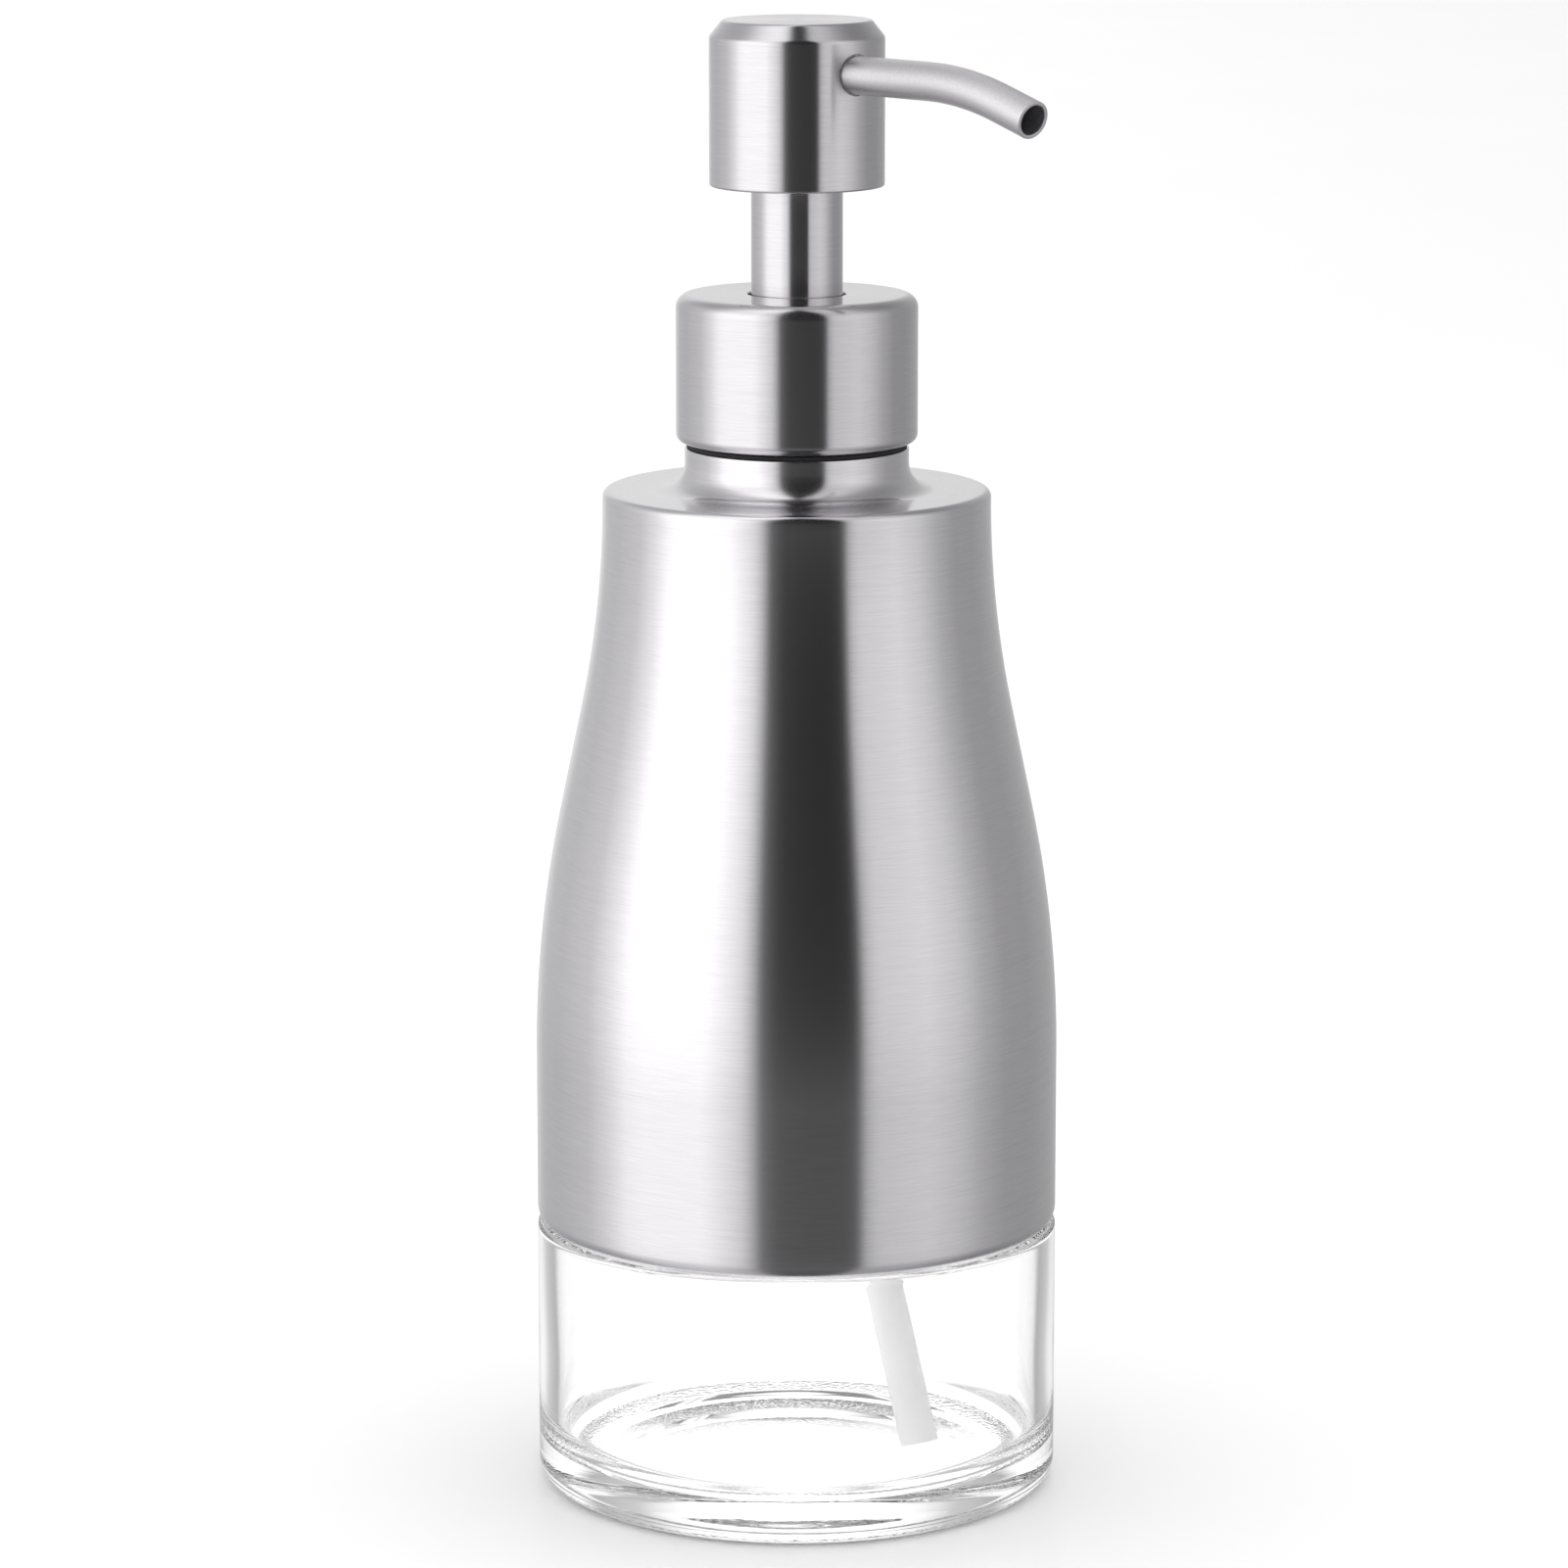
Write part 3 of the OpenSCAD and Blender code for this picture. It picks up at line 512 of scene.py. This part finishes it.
# %% Round the line
line = add(TURNING, "GeometryNodeObjectInfo", {"Object": size["Axis line"]})
curve = add(TURNING, "GeometryNodeMeshToCurve", {0: line.outputs["Geometry"]})
on_line = add(TURNING, "GeometryNodeSampleCurve", {"Curves": curve.outputs[0], "Length": on_section["Z"]},
              mode="LENGTH", use_all_curves=True).outputs
square = add(TURNING, "ShaderNodeVectorMath", {0: on_line["Tangent"], 1: on_line["Normal"]},
             operation="CROSS_PRODUCT").outputs[0]
cosine = add(TURNING, "ShaderNodeMath", {0: angle}, operation="COSINE").outputs[0]
sine = add(TURNING, "ShaderNodeMath", {0: angle}, operation="SINE").outputs[0]
ahead = add(TURNING, "ShaderNodeVectorMath", {0: on_line["Normal"], "Scale": cosine},
            operation="SCALE").outputs[0]
beside = add(TURNING, "ShaderNodeVectorMath", {0: square, "Scale": sine}, operation="SCALE").outputs[0]
arm = add(TURNING, "ShaderNodeVectorMath", {0: ahead, 1: beside}, operation="ADD").outputs[0]
outward = add(TURNING, "ShaderNodeVectorMath", {0: arm, "Scale": radius}, operation="SCALE").outputs[0]
spot = add(TURNING, "ShaderNodeVectorMath", {0: on_line["Position"], 1: outward}, operation="ADD").outputs[0]
carried = add(TURNING, "GeometryNodeSetPosition", {"Geometry": net.outputs[0], "Position": spot})
joined = add(TURNING, "GeometryNodeMergeByDistance", {"Geometry": carried.outputs[0], "Distance": 1e-6})
smooth = add(TURNING, "GeometryNodeSetShadeSmooth", {"Geometry": joined.outputs[0], "Shade Smooth": True})
real = add(TURNING, "GeometryNodeRealizeInstances", {0: smooth.outputs[0]})
done = add(TURNING, "GeometryNodeSetMaterial", {"Geometry": real.outputs[0], "Material": size["Finish"]})
add(TURNING, "NodeGroupOutput", {0: done.outputs[0]})
print("turning tree:", len(TURNING.nodes), "nodes")

# %% [markdown]
# A modifier's inputs are set by their hidden identifiers, not by the names that the
# tree shows, and before the object is first evaluated. The result is then frozen into
# a plain mesh. A closed skin whose volume comes out negative is inside out, so it is
# turned, and edges sharper than 30 degrees stay sharp.

# %% Run the tree and freeze it
def chain(name, spots):
    """A mesh of points joined one after the other, with no faces."""
    mesh = bpy.data.meshes.new(name)
    mesh.from_pydata([tuple(s) for s in spots], [(i, i + 1) for i in range(len(spots) - 1)], [])
    thing = bpy.data.objects.new(name, mesh)
    bpy.context.scene.collection.objects.link(thing)
    return thing


def freeze(thing):
    """The object's evaluated shape as its own plain mesh, with no modifier left."""
    view = bpy.context.evaluated_depsgraph_get()
    view.update()
    mesh = bpy.data.meshes.new_from_object(thing.evaluated_get(view))
    thing.modifiers.clear()
    thing.data = mesh
    skin = bmesh.new()
    skin.from_mesh(mesh)
    if skin.calc_volume(signed=True) < 0:
        bmesh.ops.reverse_faces(skin, faces=skin.faces)
    volume = skin.calc_volume(signed=True) * 1e9
    open_edges = sum(not e.is_manifold for e in skin.edges)
    skin.to_mesh(mesh)
    skin.free()
    mesh.set_sharp_from_angle(angle=math.radians(30))
    print(f"{thing.name}: {len(mesh.polygons)} faces, {volume:.0f} mm3, {open_edges} open edges")
    return thing


def turn(name, section, finish, axis, steps=256, thread=None):
    """Turns a closed section, in millimetres, round an axis line."""
    loop = list(section)
    if abs(loop[0][0]) > 1e-9 or abs(loop[-1][0]) > 1e-9:
        loop.append(loop[0])
    spots = [(p[0] / 1000, p[2] if len(p) > 2 else 0.0, p[1] / 1000) for p in loop]
    thing = chain(name, spots)
    tool = thing.modifiers.new("turning", "NODES")
    tool.node_group = TURNING
    wanted = {"Axis line": axis, "Steps round": steps, "Finish": finish}
    wanted.update(thread or {"Thread height": 0.0})
    for item in TURNING.interface.items_tree:
        if item.name in wanted:
            tool[item.identifier] = wanted[item.name]
    return freeze(thing)


def hand_over(thing, node, body):
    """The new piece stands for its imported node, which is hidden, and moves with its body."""
    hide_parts(node)
    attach(thing, body)


AXIS = chain("upright_axis", [(0, 0, 0.0), (0, 0, 0.1), (0, 0, 0.25)])

# %% [markdown]
# Sections are written as corners, each with a radius, height and rounding. Real pieces
# have no knife edges: sheet steel is folded over a radius, and even a sawn tube has its
# burr taken off. A short stop beside each rounding keeps the smooth shading of a small
# round from spilling over the flat next to it.

# %% Rounding corners
def rounded(corners):
    """Corners (radius, height, rounding) as a closed section line in millimetres."""
    line = []
    n = len(corners)
    for i, (x, z, r) in enumerate(corners):
        here = np.array([x, z], float)
        if r == 0:
            line.append((x, z))
            continue
        before, after = (np.array(corners[j % n][:2], float) - here for j in (i - 1, i + 1))
        a, b = before / np.linalg.norm(before), after / np.linalg.norm(after)
        half = math.acos(np.clip(a @ b, -1, 1)) / 2
        reach = r / math.tan(half)
        middle = here + (a + b) / np.linalg.norm(a + b) * r / math.sin(half)
        first, last = here + a * reach - middle, here + b * reach - middle
        sweep = math.pi - 2 * half
        side = math.copysign(1, first[0] * last[1] - first[1] * last[0])
        begin = math.atan2(first[1], first[0])
        stops = max(3, math.ceil(math.degrees(sweep) / 10))
        line += [(middle[0] + r * math.cos(begin + side * sweep * k / stops),
                  middle[1] + r * math.sin(begin + side * sweep * k / stops)) for k in range(stops + 1)]
    return held(line)


def held(line, gap=0.12):
    """Adds a stop close to both ends of each long straight stretch of a closed line."""
    out = []
    for i, p in enumerate(line):
        out.append(p)
        q = line[(i + 1) % len(line)]
        long = math.dist(p[:2], q[:2])
        if long > 4 * gap:
            for d in (gap, long - gap):
                out.append(tuple(a + (b - a) * d / long for a, b in zip(p, q)))
    return out


def arc(cx, cz, r, a0, a1, n):
    """Points on a round, from one angle in degrees to another."""
    return [(cx + r * math.cos(math.radians(a0 + (a1 - a0) * i / n)),
             cz + r * math.sin(math.radians(a0 + (a1 - a0) * i / n))) for i in range(n + 1)]


LOWER_SHARE, TIGHTER = 0.54, 0.96


def waist(ra, za, rb, zb, n=28):
    """The jacket's side: an arc, a short straight and a counter arc, with no corner."""
    h, d = zb - za, ra - rb
    # the two radii together; a little tighter than two arcs that just meet
    s = TIGHTER * (h * h + d * d) / (2 * d)
    t = math.degrees(math.atan2(h, s - d) - math.acos(s / math.hypot(s - d, h)))
    lower, upper = LOWER_SHARE * s, (1 - LOWER_SHARE) * s
    return arc(ra - lower, za, lower, 0, t, n) + arc(rb + upper, zb, upper, 180 + t, 180, n)


test_square = rounded([(0, 0, 1), (10, 0, 1), (10, 10, 1), (0, 10, 1)])
print("a square with rounded corners:", len(test_square), "points")

# %% [markdown]
# ## The glass bottle
#
# Thick pressed glass: a 5 mm floor with a low hollow under it, a rounded heel and a
# 2.8 mm wall. Above the jacket's lower edge it steps in by 1.8 mm and follows the steel
# to its shoulder, and its neck carries one and a half turns of thread. It is one closed
# skin, outside and inside, because glass is only right when light meets both faces.

# %% Glass bottle
BODY_R, SHOW_H, CURVE_H, SHOULDER_R, SHOULDER_H = 35.0, 36.0, 59.4, 25.75, 135.4
ROOT_R, BORE_R, RIM_Z = 12.5, 10.25, 157.0
UP_R, TOP_R, TOP_Z, NECK_ROUND, TOP_ROUND = 33.2, 23.95, 133.4, 3.5, 3.0
FLOOR_H, HOLLOW_H, RING_R, HEEL_ROUND, LEDGE_ROUND = 5.0, 1.2, 27.0, 3.0, 0.8
WALL, UPPER_WALL, FLOOR_ROUND, NEAR = 2.8, 2.25, 5.0, 0.15  # NEAR: the short stop beside a rounding

# outside: the hollow, the ring it stands on, the heel, the ledge, the waist and the neck
heel_r = BODY_R - HEEL_ROUND
outside = [(RING_R * i / 12, HOLLOW_H * (1 - (i / 12) ** 2)) for i in range(13)]
outside += [(RING_R + NEAR, 0.0), (29.5, 0.0), (heel_r - NEAR, 0.0)]
outside += arc(heel_r, HEEL_ROUND, HEEL_ROUND, 270, 360, 14)
outside += [(BODY_R, HEEL_ROUND + 0.2), (BODY_R, 20), (BODY_R, SHOW_H - 1.0)]
outside += arc(BODY_R - LEDGE_ROUND, SHOW_H - LEDGE_ROUND, LEDGE_ROUND, 0, 90, 6)
outside += [(UP_R + NEAR, SHOW_H), (UP_R + 0.05, SHOW_H)]
outside += [(UP_R, SHOW_H + 0.05), (UP_R, SHOW_H + 0.2), (UP_R, 50)]
outside += waist(UP_R, CURVE_H, TOP_R, TOP_Z - TOP_ROUND, 20)
outside += arc(TOP_R - TOP_ROUND, TOP_Z - TOP_ROUND, TOP_ROUND, 15, 90, 8)[1:]
outside += arc(ROOT_R + NECK_ROUND, TOP_Z + NECK_ROUND, NECK_ROUND, 270, 180, 8)
# the threaded stretch has a stop every 0.16 mm, marked with a 1 for the tree
outside += [(ROOT_R, 140.0), (ROOT_R, 145.0)] + [(ROOT_R, 147.0 + 0.16 * i, 1.0) for i in range(57)]
outside += arc(ROOT_R - 0.6, RIM_Z - 0.6, 0.6, 0, 90, 5)

# inside: the bore, the shoulder, the waist, the step down to the thicker wall, the floor
inside = [(BORE_R + NEAR, RIM_Z), (BORE_R, RIM_Z - NEAR), (BORE_R, 150), (BORE_R, 140)]
inside += arc(ROOT_R + NECK_ROUND, TOP_Z + NECK_ROUND, NECK_ROUND + UPPER_WALL, 180, 270, 10)
inside += arc(TOP_R - TOP_ROUND, TOP_Z - TOP_ROUND, TOP_ROUND - UPPER_WALL, 90, 15, 5)
inside += waist(UP_R - UPPER_WALL, CURVE_H, TOP_R - UPPER_WALL, TOP_Z - TOP_ROUND, 20)[::-1]
inside += [(UP_R - UPPER_WALL, 50), (UP_R - UPPER_WALL, 41.5)]
inside += [(31.03, 40.8), (31.2, 40), (31.6, 38.6), (31.95, 37.2), (32.13, 36.2)]
inner_r = BODY_R - WALL
inside += [(inner_r, 35.4), (inner_r, 20), (inner_r, FLOOR_H + FLOOR_ROUND + 0.2)]
inside += arc(inner_r - FLOOR_ROUND, FLOOR_H + FLOOR_ROUND, FLOOR_ROUND, 0, -90, 16)
inside += [(RING_R * i / 3, FLOOR_H) for i in (3, 2, 1, 0)]
glass_bottle = turn("bottle_glass", outside + inside, clear_glass, AXIS, 288, {
    "Thread foot": 0.1486, "Thread pitch": 0.004233, "Thread turns": 1.5, "Thread height": 0.00115})
# a clear bottle throws hardly any shadow: the light goes through and bends onto the board
glass_bottle.visible_shadow = False
hand_over(glass_bottle, "glass_bottle", "bottle")

# %% [markdown]
# ## The steel jacket
#
# Spun from 0.6 mm sheet over a former: the lower edge is tucked in, the side narrows in
# one long curve and its counter curve, the shoulder is flat with a small round, and a
# short neck stands up inside the collar's edge.

# %% Jacket
SHEET, LIP_R, TUCK, LEDGE_GAP, EDGE_ROUND = 0.6, 2.5, 1.0, 0.2, 1.0
NECK_R, NECK_TOP, FOOT_ROUND, BURR = 14.85, 141.0, 3.6, 0.2
lip_a = math.degrees(math.acos((LIP_R - TUCK) / LIP_R))
lip = (BODY_R - LIP_R, SHOW_H + LEDGE_GAP + LIP_R * math.sin(math.radians(lip_a)))
edge = (SHOULDER_R - EDGE_ROUND, SHOULDER_H - EDGE_ROUND)
foot = (NECK_R + FOOT_ROUND, SHOULDER_H + FOOT_ROUND)
side = waist(BODY_R, CURVE_H, SHOULDER_R, SHOULDER_H - EDGE_ROUND)

outer = arc(*lip, LIP_R, -lip_a + 1.5, 0, 9) + [(BODY_R, 40.0), (BODY_R, 50.0)] + side
outer += arc(*edge, EDGE_ROUND, 7, 90, 12) + [(r, SHOULDER_H) for r in (24.2, 21.5, 18.6)]
outer += arc(*foot, FOOT_ROUND, 270, 180, 14) + [(NECK_R, foot[1] + 0.15), (NECK_R, NECK_TOP - 0.3)]
outer += arc(NECK_R - BURR, NECK_TOP - BURR, BURR, 0, 90, 4)
inner = arc(NECK_R - SHEET + BURR, NECK_TOP - BURR, BURR, 90, 180, 4) + [(NECK_R - SHEET, foot[1] + 0.1)]
inner += arc(*foot, FOOT_ROUND + SHEET, 180, 270, 10) + [(22, SHOULDER_H - SHEET)]
inner += arc(*edge, EDGE_ROUND - SHEET, 90, 7, 8) + [(r - SHEET, z) for r, z in side][::-1]
inner += [(BODY_R - SHEET, 50.0), (BODY_R - SHEET, 40.0)] + arc(*lip, LIP_R - SHEET, 0, -lip_a + 2, 8)
jacket = turn("bottle_jacket", outer + inner, jacket_steel, AXIS, 320)
hand_over(jacket, "steel_jacket", "bottle")

# %% [markdown]
# ## Collar, black ring and sleeve
#
# The collar is a drawn cap with a rolled upper edge and a plain hole for the sleeve.
# Between it and the jacket's neck shows a thin black ring. The sleeve is plain tube.

# %% Collar
COLLAR_R, COLLAR_Z, COLLAR_TOP, HOLE_R = 16.0, 141.7, 161.3, 6.5
LOWER_ROUND, UPPER_ROUND, HOLE_ROUND = 1.2, 1.8, 0.18
under = (COLLAR_R - LOWER_ROUND, COLLAR_Z + LOWER_ROUND)
over = (COLLAR_R - UPPER_ROUND, COLLAR_TOP - UPPER_ROUND)
cap = arc(*under, LOWER_ROUND, 280, 360, 10)
cap += [(COLLAR_R, under[1] + NEAR), (COLLAR_R, 150), (COLLAR_R, over[1] - NEAR)]
cap += arc(*over, UPPER_ROUND, 0, 90, 14) + [(r, COLLAR_TOP) for r in (over[0] - NEAR, 10, HOLE_R + 0.3)]
cap += arc(HOLE_R + HOLE_ROUND, COLLAR_TOP - HOLE_ROUND, HOLE_ROUND, 90, 180, 4)
cap += [(HOLE_R, COLLAR_TOP - SHEET), (10, COLLAR_TOP - SHEET)]
cap += arc(*over, UPPER_ROUND - SHEET, 90, 0, 8) + [(COLLAR_R - SHEET, 150), (COLLAR_R - SHEET, under[1] + 0.1)]
cap += arc(*under, LOWER_ROUND - SHEET, 360, 280, 5)
collar = turn("collar_cap", cap, turned_steel, AXIS, 288)
hand_over(collar, "collar_shell", "closure")

# %% Black ring and sleeve
# a thin black ring fills the gap under the collar, so a dark line shows there
ring = rounded([(13.9, 141.0, 0.1), (14.6, 141.0, 0.15), (14.6, 141.6, 0.15), (13.9, 141.6, 0.1)])
black_gap_ring = turn("neck_ring", ring, black_rubber, AXIS, 192)
hand_over(black_gap_ring, "neck_seal_ring", "bottle")
pipe = rounded([(5.5, 159.8, 0.1), (6.05, 159.8, 0.15), (6.05, 181.5, 0.15), (5.5, 181.5, 0.1)])
sleeve = turn("pump_sleeve", pipe, turned_steel, AXIS, 160)
hand_over(sleeve, "stem_sleeve", "head")

# %% [markdown]
# ## The head
#
# A drum of sheet steel over a plastic core. Its upper edge is a narrow bevel between two
# soft corners, its lower edge is turned in a little, and the spout goes in through a
# round hole with a hair's breadth of gap. The hole is cut with a Boolean, because a
# drum with a sideways hole is no longer a turned shape.

# %% Head drum
HEAD_R, HEAD_Z, HEAD_TOP, SPOUT_Z = 11.55, 175.5, 197.2, 190.6
BEVEL_IN, BEVEL_DOWN, SPOUT_HOLE = 1.75, 2.2, 2.75
drum = rounded([
    (HEAD_R - SHEET, HEAD_Z, 0.1), (HEAD_R, HEAD_Z, 0.3), (HEAD_R, HEAD_TOP - BEVEL_DOWN, 0.8),
    (HEAD_R - BEVEL_IN, HEAD_TOP, 0.7), (0, HEAD_TOP, 0), (0, HEAD_TOP - SHEET, 0),
    (HEAD_R - BEVEL_IN - 0.35, HEAD_TOP - SHEET, 0.3), (HEAD_R - SHEET, HEAD_TOP - BEVEL_DOWN - 0.3, 0.4)])
# the section starts and ends on the axis, so that no face lies along it
start = next(i for i, p in enumerate(drum) if p[0] == 0 and p[1] == HEAD_TOP - SHEET)
drum = drum[start:] + drum[:start]
head = turn("head_drum", drum, turned_steel, AXIS, 288)
hole_axis = chain("hole_axis", [(x, 0, SPOUT_Z / 1000) for x in (0, 0.01, 0.02)])
hole = [(0, 5.0), (SPOUT_HOLE, 5.0), (SPOUT_HOLE, 16.0), (0, 16.0)]
cutter = turn("hole_cutter", hole, turned_steel, hole_axis, 96)
drill = head.modifiers.new("drill", "BOOLEAN")
drill.operation, drill.solver, drill.object = "DIFFERENCE", "EXACT", cutter
freeze(head)
bpy.data.objects.remove(cutter)
hand_over(head, "head_shell", "head")

# %% [markdown]
# ## Spout and dip tube
#
# Both are thin tubes along a bent line in the plane of the pump, so the turning tree
# runs on that line. The spout leaves the head level and bends down 16.7 degrees on a
# 47 mm radius. The dip tube drops from the pump, bends once and leans to the front.

# %% Spout
def bent(start, turn_from, straight, bend_r, bend, tail):
    """Points in metres, from sizes in millimetres: straight, bend, straight, in the XZ plane."""
    bend_step = bend_r * math.radians(abs(bend)) / 40
    steps = [(straight / 6, 0)] * 6 + [(bend_step, bend / 40)] * 40 + [(tail / 6, 0)] * 6
    (x, z), a = start, turn_from
    spots = [(x / 1000, 0, z / 1000)]
    for long, swing in steps:
        a += swing / 2
        x, z = x + long * math.cos(math.radians(a)), z + long * math.sin(math.radians(a))
        a += swing / 2
        spots.append((x / 1000, 0, z / 1000))
    return spots


def length_of(spots):
    """The length in millimetres of a line of points in metres."""
    return 1000 * sum(math.dist(a, b) for a, b in zip(spots, spots[1:]))


def tube(r, wall, long, mouth=0.12):
    """The closed section of a tube: out along its skin, back along its bore."""
    n = max(2, int(long / 0.8))
    skin = [(r, 0.15 + (long - 0.15 - mouth - 0.12) * i / n) for i in range(n + 1)]
    bore = [(r - wall, s) for _, s in skin]
    return ([(r - 0.1, 0.0)] + skin + arc(r - mouth, long - mouth, mouth, 0, 90, 5)
            + arc(r - wall + mouth, long - mouth, mouth, 90, 180, 5) + bore[::-1] + [(r - wall, 0.0)])


ROOT_X, STRAIGHT_TO, TIP_X, SPOUT_BEND_R, SPOUT_BEND = 6.0, 24.9, 44.3, 47, 16.7
bend_x = STRAIGHT_TO + SPOUT_BEND_R * math.sin(math.radians(SPOUT_BEND))
spout_tail = (TIP_X - bend_x) / math.cos(math.radians(SPOUT_BEND))
spout_line = bent((ROOT_X, SPOUT_Z), 0, STRAIGHT_TO - ROOT_X, SPOUT_BEND_R, -SPOUT_BEND, spout_tail)
spout_section = tube(2.5, 0.5, length_of(spout_line))
spout = turn("spout_tube", spout_section, satin_steel, chain("spout_line", spout_line), 96)
hand_over(spout, "spout", "head")

# %% Dip tube
foot_r, foot_h, bend_r, top, bend_z = 24.0, 9.6, 30.0, 94.6, 87.2
reach = math.hypot(bend_r - foot_r, bend_z - foot_h)
lean = math.degrees(math.atan2(bend_z - foot_h, bend_r - foot_r) - math.acos(bend_r / reach))
knee = (bend_r * (1 - math.cos(math.radians(lean))), bend_z - bend_r * math.sin(math.radians(lean)))
tube_line = bent((0.0, top), -90, top - bend_z, bend_r, lean, math.dist(knee, (foot_r, foot_h)))
dip_section = tube(2.45, 0.75, length_of(tube_line), 0.08)
dip_tube = turn("dip_tube_milky", dip_section, milky_tube, chain("dip_line", tube_line), 72)
hand_over(dip_tube, "dip_tube", "pump_body")

# %% [markdown]
# ## The return spring
#
# Eight turns of 0.8 mm wire, with the last turn at each end wound shut so that it stands
# square. It is one solid wire along a helix, so the turning tree makes it as well.

# %% Return spring
WIRE, COILS, COIL_STEPS, STROKE = 0.8, 8, 384, 13.5
coil_low, coil_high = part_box("return_spring")
coil_r, seat_z = 1000 * coil_high[0] - 0.35, 1000 * coil_low[2]  # 0.05 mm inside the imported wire
span = 1000 * (coil_high[2] - coil_low[2]) - WIRE
shut = 1.06 * WIRE
pitch = (span - 2 * shut) / (COILS - 2)


def coil_point(t):
    """The middle of the wire after t turns, in metres."""
    rise = shut * t if t < 1 else span - shut * (COILS - t) if t > COILS - 1 else shut + pitch * (t - 1)
    a = 2 * math.pi * t
    return (coil_r * math.cos(a) / 1000, coil_r * math.sin(a) / 1000, (seat_z + WIRE / 2 + rise) / 1000)


coil_line = [coil_point(COILS * i / COIL_STEPS) for i in range(COIL_STEPS + 1)]
coil_long = length_of(coil_line)
coil_skin = [(WIRE / 2 - 0.005, coil_long * i / COIL_STEPS) for i in range(COIL_STEPS + 1)]
coil_section = [(0, 0.0)] + coil_skin + [(0, coil_long)]
spring = turn("return_coil", coil_section, spring_wire, chain("coil_line", coil_line), 12)
hand_over(spring, "return_spring", "pump_body")
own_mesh(spring)

# %% [markdown]
# ## The pieces inside
#
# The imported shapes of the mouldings, the ball and the adhesive are right, so they stay
# and only get their finishes.

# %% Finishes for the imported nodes
finishes = {
    "pump_housing": white_pump, "housing_lock_ring": white_pump, "closure_insert": white_pump,
    "piston": white_pump, "stem": white_pump, "stem_valve_seat": white_pump, "head_core": white_pump,
    "neck_gasket": black_rubber, "inlet_ball": ball_steel,
    "bond_bead_lower": cured_bead, "bond_bead_upper": cured_bead,
}
for node, finish in finishes.items():
    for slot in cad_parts[node].material_slots:
        slot.material = finish
print("packed nodes with a finish:", ", ".join(finishes))

# %% [markdown]
# The axis lines have done their work and aren't part of the object, so they go.

# %% Clear away the axis lines
for helper in ("upright_axis", "hole_axis", "spout_line", "dip_line", "coil_line"):
    bpy.data.objects.remove(bpy.data.objects[helper])
